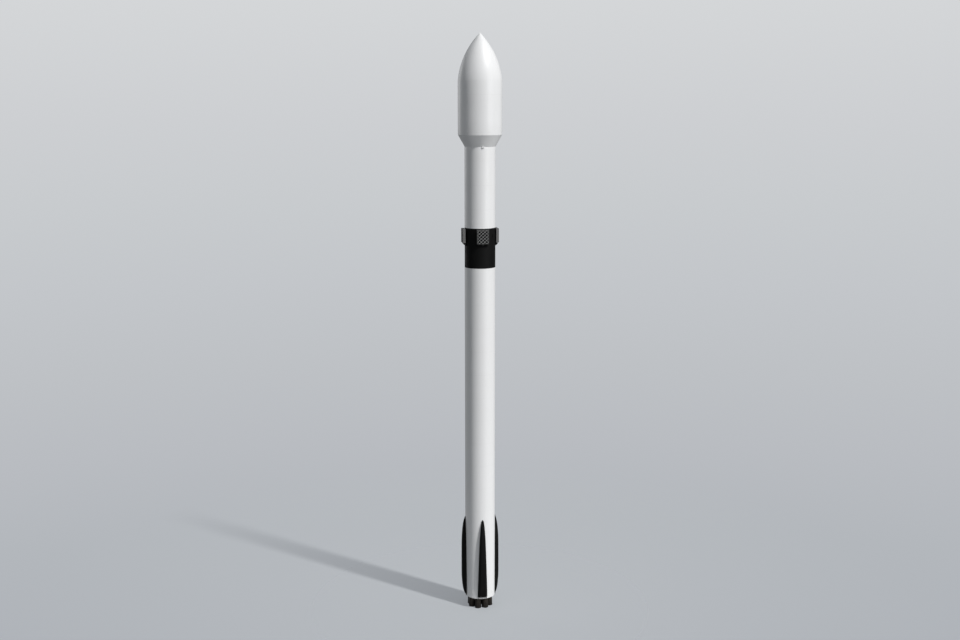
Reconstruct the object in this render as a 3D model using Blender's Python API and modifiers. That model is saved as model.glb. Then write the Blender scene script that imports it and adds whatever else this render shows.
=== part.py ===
"""Two-stage space rocket at 1:2 scale, standing upright.

Metres, +Z up. The origin is on the rocket's axis, at the plane of the first
stage's base ring, where the launch mount's clamps hold it. The engine bells
hang below that plane. The landing legs and grid fins are folded.
"""
import math

import bmesh
import bpy
from mathutils import Matrix, Vector

# Main sizes of the 1:2 model
BODY_RADIUS = 0.915
FAIRING_RADIUS = 1.300
BASE_Z = 0.0
THRUST_TOP_Z = 0.900
TANK_JOINT_Z = 8.000
INTERSTAGE_Z = 20.665
STAGE2_Z = 23.035
FAIRING_Z = 27.800
BOATTAIL_TOP_Z = 28.485
SHOULDER_Z = 31.565
TIP_Z = 34.315
NOZZLE_EXIT_Z = -0.685

# Gaps and facets
SEAT = 0.0003
FAIRING_SEAT = 0.0005
BODY_FACETS = 48
FAIRING_FACETS = 36
INNER_FACETS = 24
ENGINE_FACETS = 16
PIN_FACETS = 12
SMALL_PIN_FACETS = 8
BARREL_STEP = 0.003
ROOT_BITE = 0.020
CUT_OVER = 0.100
CUTTER_FOOT_Z = -1.000

# Thrust section and heat shield
SKIRT_WALL = 0.040
BASE_RING_WIDTH = 0.060
BASE_RING_HEIGHT = 0.030
THRUST_PLATE_Z = 0.620
SHIELD_Z = (0.100, 0.120)
SHIELD_HOLE_RADIUS = 0.205

# Engines
RING_ENGINES = 8
ENGINE_PITCH_RADIUS = 0.580
ENGINE_FIRST_ANGLE = 22.5
GIMBAL_Z = 0.500
GIMBAL_PIN_RADIUS = 0.012
GIMBAL_BORE_RADIUS = 0.01335
GIMBAL_CORE = 0.036
EAR_INNER = 0.045
EAR_OUTER = 0.060
EAR_HALF_WIDTH = 0.025
ENGINE_EAR_FOOT_Z = 0.420

# Interstage and its joint with the oxidiser tank's dome
INTERSTAGE_WALL = 0.020
DOME_RADIUS = 0.885
DOME_TOP_Z = 21.000

# Landing legs
LEG_TOP_Z = 5.035
LEG_ROOT_RADIUS = 0.800
LEG_HINGE_Z = 0.070
LEG_HINGE_RADIUS = 0.018
LEG_HINGE_HALF_LENGTH = 0.285
LEG_HINGE_PROUD = 0.012
LEG_LUG_PLACES = (-0.250, 0.000, 0.250)
LEG_LUG_HALF_WIDTH = 0.022
LEG_LUG_HALF_HEIGHT = 0.035

# Grid fins, folded up against the interstage
FIN_HALF_WIDTH = 0.350
FIN_Z = (22.145, 22.975)
FIN_INNER_FACE = 0.925
FIN_DEPTH = 0.155
FIN_RIM = 0.026
FIN_BAR = 0.012
FIN_CELLS = (4, 5)
FIN_HINGE_RADIUS = 0.985
FIN_HINGE_Z = 22.075
FIN_BARREL_RADIUS = 0.040
FIN_LUG_HALF_WIDTH = 0.050
FIN_PIN_RADIUS = 0.016
FIN_BORE_RADIUS = 0.0170
FIN_BRACKET_HALF_WIDTH = 0.280
FIN_BRACKET_Z = (21.970, 22.120)
FIN_BRACKET_TOP_RADIUS = 1.030
FIN_SLOT_HALF_WIDTH = 0.056
FIN_SLOT_FLOOR = 0.050
FIN_SLOT_BACK = 0.010
FIN_BRACKET_LIP = 0.035
FIN_LUG_FOOT = (-0.030, 0.035)
FIN_LUG_ROOT = (-0.045, 0.075)
FIN_LUG_BITE = 0.010
BRACKET_TOE = 0.004

# Second stage
STAGE2_ENGINE_RADIUS = 0.250
STAGE2_ENGINE_NECK = (0.140, 0.150)
STAGE2_THROAT_Z = 22.450
STAGE2_THROAT_RADIUS = 0.130
STAGE2_NOZZLE_WALL = 0.010
STAGE2_NOZZLE_STEPS = 5
STAGE2_EXIT_Z = 21.200
STAGE2_EXIT_RADIUS = 0.600
ADAPTER_BASE_RADIUS = 0.800
ADAPTER_RING_RADIUS = 0.400
ADAPTER_TOP_Z = 28.400
ADAPTER_WALL = 0.030
ADAPTER_FLANGE = 0.030
ADAPTER_RING_HEIGHT = 0.050

# Payload fairing
FAIRING_WALL = 0.020
OGIVE_RADIUS = 4.410
OGIVE_STEPS = 8
FAIRING_HINGE_RADIUS = 0.945
FAIRING_HINGE_Z = 27.775
FAIRING_BARREL_RADIUS = 0.020
FAIRING_PIN_RADIUS = 0.008
FAIRING_BORE_RADIUS = 0.0087
FAIRING_LUG_HALF_WIDTH = 0.029
FAIRING_SLOT_HALF_WIDTH = 0.034
FAIRING_BRACKET_HALF_WIDTH = 0.055
FAIRING_BRACKET_TOP_GAP = 0.003
FAIRING_BRACKET_DROP = 0.085
FAIRING_BRACKET_NOSE = (0.022, 0.040)
FAIRING_BRACKET_ROOT_RADIUS = 0.500
FAIRING_SLOT_DROP = 0.030
FAIRING_PIN_END_GAP = 0.002
FAIRING_BEND_RISE = 0.005
# The lug from its barrel up into the shell, as offsets from the hinge and the foot
FAIRING_LUG_HALF_DEPTH = 0.018
FAIRING_LUG_OUTER = (0.024, 0.075)
FAIRING_LUG_INNER = (-0.010, 0.060)
FAIRING_LUG_SEAT = 0.020

# Cable raceways, on the side between two legs
RACEWAY_ANGLE = -45.0
RACEWAY_HALF_WIDTH = 0.045
RACEWAY_HEIGHT = 0.040
RACEWAY_END_GAP = 0.100
RACEWAY_TOP_GAP = 0.150

for old in list(bpy.data.objects):
    bpy.data.objects.remove(old, do_unlink=True)

parts = bpy.data.collections.new("space_rocket")
cutters = bpy.data.collections.new("cutters")
bpy.context.scene.collection.children.link(parts)
bpy.context.scene.collection.children.link(cutters)


def paint(name, colour, roughness, metallic=0.0):
    """A Principled material with the given linear colour."""
    material = bpy.data.materials.new(name)
    material.use_nodes = True
    shader = material.node_tree.nodes["Principled BSDF"]
    shader.inputs["Base Color"].default_value = (*colour, 1.0)
    shader.inputs["Roughness"].default_value = roughness
    shader.inputs["Metallic"].default_value = metallic
    return material


WHITE_PAINT = paint("white_paint", (0.80, 0.80, 0.79), 0.42)
BLACK_SHELL = paint("black_shell", (0.012, 0.012, 0.013), 0.50)
BARE_TITANIUM = paint("bare_titanium", (0.16, 0.16, 0.17), 0.45, 1.0)
ENGINE_METAL = paint("engine_metal", (0.045, 0.042, 0.038), 0.50, 1.0)
DARK_SHIELD = paint("dark_shield", (0.030, 0.030, 0.032), 0.70)
BARE_STEEL = paint("bare_steel", (0.35, 0.35, 0.36), 0.40, 1.0)
BARE_ALUMINIUM = paint("bare_aluminium", (0.62, 0.63, 0.64), 0.40, 1.0)


def mesh_object(name, mesh, material, collection=parts):
    """A named object round a mesh, with its one material."""
    thing = bpy.data.objects.new(name, mesh)
    if material:
        mesh.materials.clear()
        mesh.materials.append(material)
    collection.objects.link(thing)
    return thing


def hide_cutter(thing):
    """Marks a helper that shapes other parts and isn't one itself."""
    thing.hide_render = True
    thing.display_type = "WIRE"
    return thing


def mesh_from(build):
    """A mesh made by a function that fills an empty bmesh."""
    form = bmesh.new()
    build(form)
    bmesh.ops.recalc_face_normals(form, faces=form.faces)
    mesh = bpy.data.meshes.new("form")
    form.to_mesh(mesh)
    form.free()
    return mesh


def add_box(form, low, high):
    """A box between two corners."""
    size = Vector(high) - Vector(low)
    middle = (Vector(high) + Vector(low)) / 2
    place = Matrix.Translation(middle) @ Matrix.Diagonal((*size, 1.0))
    bmesh.ops.create_cube(form, size=1.0, matrix=place)


def add_rod(form, centre, axis, radius, length, facets, half_step=False):
    """A closed cylinder along X, Y or Z, with its middle at centre.

    A bore is turned half a facet, so that its flats face its pin's edges.
    """
    turn = {
        "X": Matrix.Rotation(math.radians(90), 4, "Y"),
        "Y": Matrix.Rotation(math.radians(90), 4, "X"),
        "Z": Matrix.Identity(4),
    }[axis]
    if half_step:
        turn = turn @ Matrix.Rotation(math.pi / facets, 4, "Z")
    bmesh.ops.create_cone(
        form, cap_ends=True, segments=facets, radius1=radius, radius2=radius,
        depth=length, matrix=Matrix.Translation(centre) @ turn,
    )


def box_mesh(low, high):
    return mesh_from(lambda form: add_box(form, low, high))


def rod_mesh(centre, axis, radius, length, facets, half_step=False):
    return mesh_from(
        lambda form: add_rod(form, centre, axis, radius, length, facets, half_step))


def prism_mesh(outline, half_width):
    """An outline of (radius, z) points, drawn in the YZ plane, made thick along X."""
    def build(form):
        corners = [form.verts.new((-half_width, radius, z)) for radius, z in outline]
        face = form.faces.new(corners)
        grown = bmesh.ops.extrude_face_region(form, geom=[face])["geom"]
        moved = [item for item in grown if isinstance(item, bmesh.types.BMVert)]
        bmesh.ops.translate(form, verts=moved, vec=(2 * half_width, 0, 0))
    return mesh_from(build)


def boolean(thing, other, operation):
    """An exact Boolean modifier with another object."""
    step = thing.modifiers.new(operation.lower(), "BOOLEAN")
    step.operation = operation
    step.solver = "EXACT"
    step.object = other
    return thing


def helper(name, mesh):
    return hide_cutter(mesh_object(name, mesh, None, cutters))


def turned(name, profile, facets, material, collection=parts):
    """A profile of (radius, z) points at +X, down its outer side, turned round Z."""
    mesh = bpy.data.meshes.new(name)
    points = [(radius, 0.0, z) for radius, z in profile]
    closed = profile[0][0] > 0
    edges = [(i, i + 1) for i in range(len(points) - 1)]
    if closed:
        edges.append((len(points) - 1, 0))
    mesh.from_pydata(points, edges, [])
    thing = mesh_object(name, mesh, material, collection)
    screw = thing.modifiers.new("turn", "SCREW")
    screw.axis = "Z"
    screw.angle = math.tau
    screw.steps = facets
    screw.render_steps = facets
    screw.use_merge_vertices = True
    screw.merge_threshold = 0.0001
    return thing


def turn_to(thing, degrees):
    """Turns a part made towards +Y to its place round the rocket's axis."""
    thing.rotation_euler = (0, 0, math.radians(degrees))
    return thing


# The body's own shape, grown by the seat gap, cuts what lies against it
skin_radius = BODY_RADIUS + SEAT / math.cos(math.pi / BODY_FACETS)
body_cutter = hide_cutter(turned(
    "body_cutter",
    [(0, TIP_Z), (skin_radius, TIP_Z), (skin_radius, CUTTER_FOOT_Z), (0, CUTTER_FOOT_Z)],
    BODY_FACETS, None, cutters,
))


def against_body(thing):
    return boolean(thing, body_cutter, "DIFFERENCE")


def engine_places():
    """Numbers and centres of the engines: a ring, and the last one on the axis."""
    for i in range(RING_ENGINES):
        angle = math.radians(ENGINE_FIRST_ANGLE + 360 / RING_ENGINES * i)
        yield i + 1, (ENGINE_PITCH_RADIUS * math.cos(angle), ENGINE_PITCH_RADIUS * math.sin(angle))
    yield RING_ENGINES + 1, (0.0, 0.0)


# First stage

def thrust_section():
    """The skirt round the engines, with the plate and ears that carry them."""
    inner = BODY_RADIUS - SKIRT_WALL
    ring = BODY_RADIUS - BASE_RING_WIDTH
    section = turned("thrust_section", [
        (0, THRUST_TOP_Z - SEAT), (BODY_RADIUS, THRUST_TOP_Z - SEAT), (BODY_RADIUS, BASE_Z),
        (ring, BASE_Z), (ring, BASE_RING_HEIGHT), (inner, BASE_RING_HEIGHT),
        (inner, THRUST_PLATE_Z), (0, THRUST_PLATE_Z),
    ], BODY_FACETS, WHITE_PAINT)

    def ears(form):
        for _, (x, y) in engine_places():
            for side in (-1, 1):
                across = sorted((x + side * EAR_INNER, x + side * EAR_OUTER))
                add_box(
                    form,
                    (across[0], y - EAR_HALF_WIDTH, GIMBAL_Z - EAR_HALF_WIDTH),
                    (across[1], y + EAR_HALF_WIDTH, THRUST_PLATE_Z + ROOT_BITE),
                )

    def bores(form):
        for _, (x, y) in engine_places():
            add_rod(form, (x, y, GIMBAL_Z), "X", GIMBAL_BORE_RADIUS, 3 * EAR_OUTER,
                    SMALL_PIN_FACETS, half_step=True)

    boolean(section, helper("engine_ears", mesh_from(ears)), "UNION")
    boolean(section, helper("engine_ear_bores", mesh_from(bores)), "DIFFERENCE")


def heat_shield():
    """The closing plate across the base, with a hole round each engine."""
    radius = BODY_RADIUS - SKIRT_WALL - SEAT / math.cos(math.pi / BODY_FACETS)
    low, high = SHIELD_Z
    shield = turned("heat_shield", [(0, high), (radius, high), (radius, low), (0, low)],
                    BODY_FACETS, DARK_SHIELD)

    def holes(form):
        for _, (x, y) in engine_places():
            add_rod(form, (x, y, (low + high) / 2), "Z", SHIELD_HOLE_RADIUS,
                    2 * CUT_OVER, ENGINE_FACETS)

    boolean(shield, helper("shield_holes", mesh_from(holes)), "DIFFERENCE")


def tanks():
    """The fuel tank, and the oxidiser tank with its dome inside the interstage."""
    turned("fuel_tank", [
        (0, TANK_JOINT_Z - SEAT), (BODY_RADIUS, TANK_JOINT_Z - SEAT),
        (BODY_RADIUS, THRUST_TOP_Z), (0, THRUST_TOP_Z),
    ], BODY_FACETS, WHITE_PAINT)
    shoulder = INTERSTAGE_Z - SEAT
    rise = DOME_TOP_Z - shoulder
    dome = [
        (DOME_RADIUS * math.sin(angle), shoulder + rise * math.cos(angle))
        for angle in (0, math.radians(30), math.radians(60), math.radians(90))
    ]
    turned("oxidiser_tank", dome + [
        (BODY_RADIUS, shoulder), (BODY_RADIUS, TANK_JOINT_Z), (0, TANK_JOINT_Z),
    ], BODY_FACETS, WHITE_PAINT)


# Leg sections, from the tip down: distance below the tip, half width, height off the body
LEG_SECTIONS = (
    (0.00, 0.070, 0.055),
    (0.26, 0.105, 0.126),
    (0.56, 0.135, 0.170),
    (0.85, 0.155, 0.198),
    (1.60, 0.195, 0.233),
    (3.60, 0.262, 0.233),
    (4.10, 0.280, 0.205),
    (4.50, 0.293, 0.165),
    (4.80, 0.300, 0.100),
    (4.92, 0.300, 0.040),
)
LEG_CROWN = 0.62
LEG_SIDE = 0.45


def leg_section(width, height):
    """One leg section's (x, radius) points, from its left root over the crown."""
    side = math.sqrt(BODY_RADIUS ** 2 - width ** 2) + LEG_SIDE * height
    crown = BODY_RADIUS + height
    half = [(LEG_CROWN * width, crown), (width, side), (width, LEG_ROOT_RADIUS)]
    return [(-x, radius) for x, radius in reversed(half)] + half


def landing_legs():
    """Four folded legs, each a tapered shell that lies against the tank."""
    def build(form):
        rings = []
        for below, width, height in LEG_SECTIONS:
            z = LEG_TOP_Z - below
            rings.append([form.verts.new((x, radius, z))
                          for x, radius in leg_section(width, height)])
        for upper, lower in zip(rings, rings[1:]):
            for i in range(len(upper)):
                j = (i + 1) % len(upper)
                form.faces.new((upper[i], upper[j], lower[j], lower[i]))
        form.faces.new(rings[0])
        form.faces.new(reversed(rings[-1]))

    shape = mesh_from(build)
    for i in range(4):
        leg = mesh_object(f"leg_{i + 1}", shape, BLACK_SHELL)
        against_body(turn_to(leg, 90 * i))


def leg_hinges():
    """The shaft and lugs on which each leg's lower end is hung."""
    centre = BODY_RADIUS + LEG_HINGE_PROUD

    def lugs(form):
        for x in LEG_LUG_PLACES:
            add_box(form,
                    (x - LEG_LUG_HALF_WIDTH, LEG_ROOT_RADIUS, LEG_HINGE_Z - LEG_LUG_HALF_HEIGHT),
                    (x + LEG_LUG_HALF_WIDTH, centre + LEG_HINGE_PROUD,
                     LEG_HINGE_Z + LEG_LUG_HALF_HEIGHT))

    lug_tool = helper("leg_lugs", mesh_from(lugs))
    shaft = rod_mesh((0, centre, LEG_HINGE_Z), "X", LEG_HINGE_RADIUS,
                     2 * LEG_HINGE_HALF_LENGTH, SMALL_PIN_FACETS)
    for i in range(4):
        hinge = turn_to(mesh_object(f"leg_hinge_{i + 1}", shaft, BARE_STEEL), 90 * i)
        tool = lug_tool if i == 0 else helper(f"leg_lugs_{i + 1}", lug_tool.data)
        boolean(hinge, turn_to(tool, 90 * i), "UNION")
        against_body(hinge)


def raceway(name, low, high):
    """A cable cover along the body."""
    cover = mesh_object(name, box_mesh(
        (-RACEWAY_HALF_WIDTH, LEG_ROOT_RADIUS, low),
        (RACEWAY_HALF_WIDTH, BODY_RADIUS + RACEWAY_HEIGHT, high),
    ), WHITE_PAINT)
    against_body(turn_to(cover, RACEWAY_ANGLE))


def interstage():
    inner = BODY_RADIUS - INTERSTAGE_WALL
    turned("interstage", [
        (BODY_RADIUS, STAGE2_Z - SEAT), (BODY_RADIUS, INTERSTAGE_Z),
        (inner, INTERSTAGE_Z), (inner, STAGE2_Z - SEAT),
    ], BODY_FACETS, BLACK_SHELL)


# Grid fins

def fin_brackets():
    """A wedge under each fin, with a slot for the fin's lug and the hinge pin across it."""
    low, high = FIN_BRACKET_Z
    wedge = prism_mesh([
        (LEG_ROOT_RADIUS, low), (BODY_RADIUS + BRACKET_TOE, low),
        (FIN_BRACKET_TOP_RADIUS, high - FIN_BRACKET_LIP), (FIN_BRACKET_TOP_RADIUS, high),
        (LEG_ROOT_RADIUS, high),
    ], FIN_BRACKET_HALF_WIDTH)
    slot = box_mesh(
        (-FIN_SLOT_HALF_WIDTH, FIN_INNER_FACE + FIN_SLOT_BACK, low + FIN_SLOT_FLOOR),
        (FIN_SLOT_HALF_WIDTH, FIN_BRACKET_TOP_RADIUS + CUT_OVER, high + CUT_OVER))
    pin = rod_mesh((0, FIN_HINGE_RADIUS, FIN_HINGE_Z), "X", FIN_PIN_RADIUS,
                   4 * FIN_SLOT_HALF_WIDTH, PIN_FACETS)
    for i in range(4):
        bracket = turn_to(mesh_object(f"fin_bracket_{i + 1}", wedge, BLACK_SHELL), 90 * i)
        against_body(bracket)
        boolean(bracket, turn_to(helper(f"fin_slot_{i + 1}", slot), 90 * i), "DIFFERENCE")
        boolean(bracket, turn_to(helper(f"fin_pin_{i + 1}", pin), 90 * i), "UNION")


def clipped(outline, keep, line):
    """The part of a convex outline where keep(point) is below line."""
    result = []
    for start, end in zip(outline, outline[1:] + outline[:1]):
        a, b = keep(start) - line, keep(end) - line
        if a <= 0:
            result.append(start)
        if a * b < 0:
            share = a / (a - b)
            result.append(tuple(s + (e - s) * share for s, e in zip(start, end)))
    return result


def fin_cells():
    """The diamond holes of a grid fin, whole ones and those cut by its rim."""
    low, high = FIN_Z
    half_x = FIN_HALF_WIDTH - FIN_RIM
    half_z = (high - low) / 2 - FIN_RIM
    columns, rows = FIN_CELLS
    pitch_x, pitch_z = 2 * half_x / columns, 2 * half_z / rows
    shrink = 1 - FIN_BAR / min(pitch_x, pitch_z) * math.sqrt(2)
    middle = (low + high) / 2
    for i in range(2 * columns + 1):
        for j in range(2 * rows + 1):
            if (i + j) % 2 == 1:
                continue
            x, z = -half_x + i * pitch_x / 2, -half_z + j * pitch_z / 2
            reach_x, reach_z = shrink * pitch_x / 2, shrink * pitch_z / 2
            cell = [(x - reach_x, z), (x, z - reach_z), (x + reach_x, z), (x, z + reach_z)]
            cell = clipped(cell, lambda p: p[0], half_x)
            cell = clipped(cell, lambda p: -p[0], half_x)
            cell = clipped(cell, lambda p: p[1], half_z)
            cell = clipped(cell, lambda p: -p[1], half_z)
            if len(cell) > 2:
                yield [(a, b + middle) for a, b in cell]


def fin_lattice():
    """The fin's rim and crossed bars, as a flat outline with holes made thick."""
    low, high = FIN_Z
    rim = [(-FIN_HALF_WIDTH, low), (FIN_HALF_WIDTH, low),
           (FIN_HALF_WIDTH, high), (-FIN_HALF_WIDTH, high)]
    drawing = bpy.data.curves.new("fin_outline", "CURVE")
    drawing.dimensions = "2D"
    drawing.fill_mode = "BOTH"
    drawing.extrude = FIN_DEPTH / 2
    for outline in [rim, *fin_cells()]:
        spline = drawing.splines.new("POLY")
        spline.points.add(len(outline) - 1)
        for point, (x, z) in zip(spline.points, outline):
            point.co = (x, z, 0, 1)
        spline.use_cyclic_u = True
    flat = bpy.data.objects.new("fin_outline", drawing)
    cutters.objects.link(flat)
    seen = flat.evaluated_get(bpy.context.evaluated_depsgraph_get())
    mesh = bpy.data.meshes.new_from_object(seen)
    bpy.data.objects.remove(flat, do_unlink=True)
    form = bmesh.new()
    form.from_mesh(mesh)
    bmesh.ops.remove_doubles(form, verts=form.verts, dist=0.00001)
    stand = Matrix.Translation((0, FIN_INNER_FACE + FIN_DEPTH / 2, 0))
    bmesh.ops.transform(form, matrix=stand @ Matrix.Rotation(math.radians(90), 4, "X"),
                        verts=form.verts)
    bmesh.ops.recalc_face_normals(form, faces=form.faces)
    form.to_mesh(mesh)
    form.free()
    return mesh


def grid_fins():
    """Four lattice fins, each on an empty at its hinge."""
    lattice = fin_lattice()
    low = FIN_Z[0]
    lug = prism_mesh([
        (FIN_HINGE_RADIUS + FIN_LUG_FOOT[0], FIN_HINGE_Z),
        (FIN_HINGE_RADIUS + FIN_LUG_FOOT[1], FIN_HINGE_Z),
        (FIN_HINGE_RADIUS + FIN_LUG_ROOT[1], low + FIN_LUG_BITE),
        (FIN_HINGE_RADIUS + FIN_LUG_ROOT[0], low + FIN_LUG_BITE),
    ], FIN_LUG_HALF_WIDTH - BARREL_STEP)
    hinge = (0, FIN_HINGE_RADIUS, FIN_HINGE_Z)
    barrel = rod_mesh(hinge, "X", FIN_BARREL_RADIUS, 2 * FIN_LUG_HALF_WIDTH, PIN_FACETS)
    bore = rod_mesh(hinge, "X", FIN_BORE_RADIUS, 4 * FIN_LUG_HALF_WIDTH, PIN_FACETS,
                    half_step=True)
    for i in range(4):
        turn = Matrix.Rotation(math.radians(90 * i), 4, "Z")
        pivot = bpy.data.objects.new(f"fin_pivot_{i + 1}", None)
        pivot.matrix_world = turn @ Matrix.Translation(hinge)
        parts.objects.link(pivot)
        fin = mesh_object(f"grid_fin_{i + 1}", lattice, BARE_TITANIUM)
        fin.parent = pivot
        fin.matrix_parent_inverse = Matrix.Translation(hinge).inverted()
        for kind, tool, operation in (("lug", lug, "UNION"), ("barrel", barrel, "UNION"),
                                      ("bore", bore, "DIFFERENCE")):
            other = helper(f"fin_{kind}_{i + 1}", tool)
            boolean(fin, turn_to(other, 90 * i), operation)


# Engines

# Engine profile from the top plate down the outside, as (radius, z)
ENGINE_OUTSIDE = (
    (0.000, 0.430), (0.075, 0.430), (0.075, 0.310), (0.050, 0.250), (0.125, 0.157),
    (0.200, 0.180), (0.200, 0.173), (0.132, 0.147),
    (0.158, 0.000), (0.184, -0.240), (0.205, NOZZLE_EXIT_Z),
)
# The inside of the bell, from its lip up to the throat
ENGINE_INSIDE = (
    (0.198, NOZZLE_EXIT_Z), (0.177, -0.240), (0.151, 0.000), (0.112, 0.140), (0.000, 0.250),
)


def engines():
    """Nine engines, each hung on a cross with two pins so that it can tilt both ways."""
    def ears(form):
        for side in (-1, 1):
            across = sorted((side * EAR_INNER, side * EAR_OUTER))
            add_box(form, (-EAR_HALF_WIDTH, across[0], ENGINE_EAR_FOOT_Z),
                    (EAR_HALF_WIDTH, across[1], GIMBAL_Z + EAR_HALF_WIDTH))

    ear_mesh = mesh_from(ears)
    bore_mesh = rod_mesh((0, 0, GIMBAL_Z), "Y", GIMBAL_BORE_RADIUS, 3 * EAR_OUTER,
                         SMALL_PIN_FACETS, half_step=True)
    for number, (x, y) in engine_places():
        engine = turned(f"engine_{number}", ENGINE_OUTSIDE + ENGINE_INSIDE, ENGINE_FACETS,
                        ENGINE_METAL)
        engine.location = (x, y, 0)
        for kind, tool, operation in (("ears", ear_mesh, "UNION"),
                                      ("bore", bore_mesh, "DIFFERENCE")):
            other = helper(f"engine_{number}_{kind}", tool)
            other.location = (x, y, 0)
            boolean(engine, other, operation)


def gimbal_crosses():
    """A core with a pin each way, between the thrust section's ears and the engine's."""
    half = GIMBAL_CORE / 2
    core = box_mesh((-half, -half, -half), (half, half, half))
    rods = [rod_mesh((0, 0, 0), axis, GIMBAL_PIN_RADIUS, 2 * EAR_OUTER, SMALL_PIN_FACETS)
            for axis in ("X", "Y")]
    for number, (x, y) in engine_places():
        cross = mesh_object(f"gimbal_{number}", core, BARE_STEEL)
        cross.location = (x, y, GIMBAL_Z)
        for axis, rod in zip("xy", rods):
            other = helper(f"gimbal_{number}_rod_{axis}", rod)
            other.location = (x, y, GIMBAL_Z)
            boolean(cross, other, "UNION")


# Second stage

def second_stage():
    top = FAIRING_Z
    turned("stage2_tank", [(0, top), (BODY_RADIUS, top), (BODY_RADIUS, STAGE2_Z), (0, STAGE2_Z)],
           BODY_FACETS, WHITE_PAINT)
    block_top = STAGE2_Z - SEAT
    turned("stage2_engine", [
        (0, block_top), (STAGE2_ENGINE_RADIUS, block_top),
        (STAGE2_ENGINE_RADIUS, STAGE2_THROAT_Z + STAGE2_ENGINE_NECK[1]),
        (STAGE2_ENGINE_NECK[0], STAGE2_THROAT_Z),
        (0, STAGE2_THROAT_Z),
    ], ENGINE_FACETS, ENGINE_METAL)
    vacuum_nozzle()
    top_z = ADAPTER_TOP_Z
    foot = FAIRING_Z + SEAT
    turned("payload_adapter", [
        (ADAPTER_RING_RADIUS, top_z), (ADAPTER_RING_RADIUS, top_z - ADAPTER_RING_HEIGHT),
        (ADAPTER_BASE_RADIUS, foot + ADAPTER_FLANGE), (ADAPTER_BASE_RADIUS, foot),
        (ADAPTER_BASE_RADIUS - ADAPTER_WALL, foot),
        (ADAPTER_RING_RADIUS - ADAPTER_WALL, top_z - ADAPTER_RING_HEIGHT),
        (ADAPTER_RING_RADIUS - ADAPTER_WALL, top_z),
    ], INNER_FACETS, BARE_ALUMINIUM)


def vacuum_nozzle():
    """The second stage's wide bell, on a parabola from its throat to its lip."""
    wall, throat = STAGE2_NOZZLE_WALL, STAGE2_THROAT_RADIUS
    top, low = STAGE2_THROAT_Z - SEAT, STAGE2_EXIT_Z
    lid = top - 2 * wall

    def radius(share):
        return throat + (STAGE2_EXIT_RADIUS - throat) * math.sqrt(share)

    shares = [(i / STAGE2_NOZZLE_STEPS) ** 2 for i in range(STAGE2_NOZZLE_STEPS + 1)]
    outside = [(radius(s), top + (low - top) * s) for s in shares]
    inside = [(radius(s) - wall, top + (low - top) * s) for s in reversed(shares)]
    inside[-1] = (throat - 2 * wall, lid)
    turned("stage2_nozzle", [(0, top)] + outside + inside + [(0, lid)],
           INNER_FACETS, ENGINE_METAL)


# Payload fairing

def ogive(centre_radius, radius, first, last):
    """Points on the nose's arc, from the tip's angle down to the shoulder's."""
    centre_z = centre_radius[1]
    points = []
    for i in range(OGIVE_STEPS + 1):
        angle = first + (last - first) * i / OGIVE_STEPS
        points.append((centre_radius[0] + radius * math.cos(angle),
                       centre_z + radius * math.sin(angle)))
    return points


def fairing_profile():
    """The fairing's closed profile: outside from tip to base, then inside back up."""
    shoulder, tip = Vector((FAIRING_RADIUS, SHOULDER_Z)), Vector((0, TIP_Z))
    chord = tip - shoulder
    reach = math.sqrt(OGIVE_RADIUS ** 2 - (chord.length / 2) ** 2)
    centre = (shoulder + tip) / 2 + reach * Vector((-chord.y, chord.x)).normalized()
    outer_tip = math.acos(-centre.x / OGIVE_RADIUS)
    outer_shoulder = math.asin((SHOULDER_Z - centre.y) / OGIVE_RADIUS)
    inner_arc = OGIVE_RADIUS - FAIRING_WALL
    inner_tip = math.acos(-centre.x / inner_arc)
    inner_shoulder = math.acos((FAIRING_RADIUS - FAIRING_WALL - centre.x) / inner_arc)
    outside = ogive(centre, OGIVE_RADIUS, outer_tip, outer_shoulder)
    inside = ogive(centre, inner_arc, inner_tip, inner_shoulder)
    outside[0] = (0.0, outside[0][1])
    inside[0] = (0.0, inside[0][1])
    foot = FAIRING_Z + FAIRING_SEAT
    outside += [(FAIRING_RADIUS, BOATTAIL_TOP_Z), (BODY_RADIUS, foot)]
    inside += [(FAIRING_RADIUS - FAIRING_WALL, BOATTAIL_TOP_Z + FAIRING_BEND_RISE),
               (BODY_RADIUS - FAIRING_WALL, foot)]
    return outside + inside[::-1]


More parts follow.
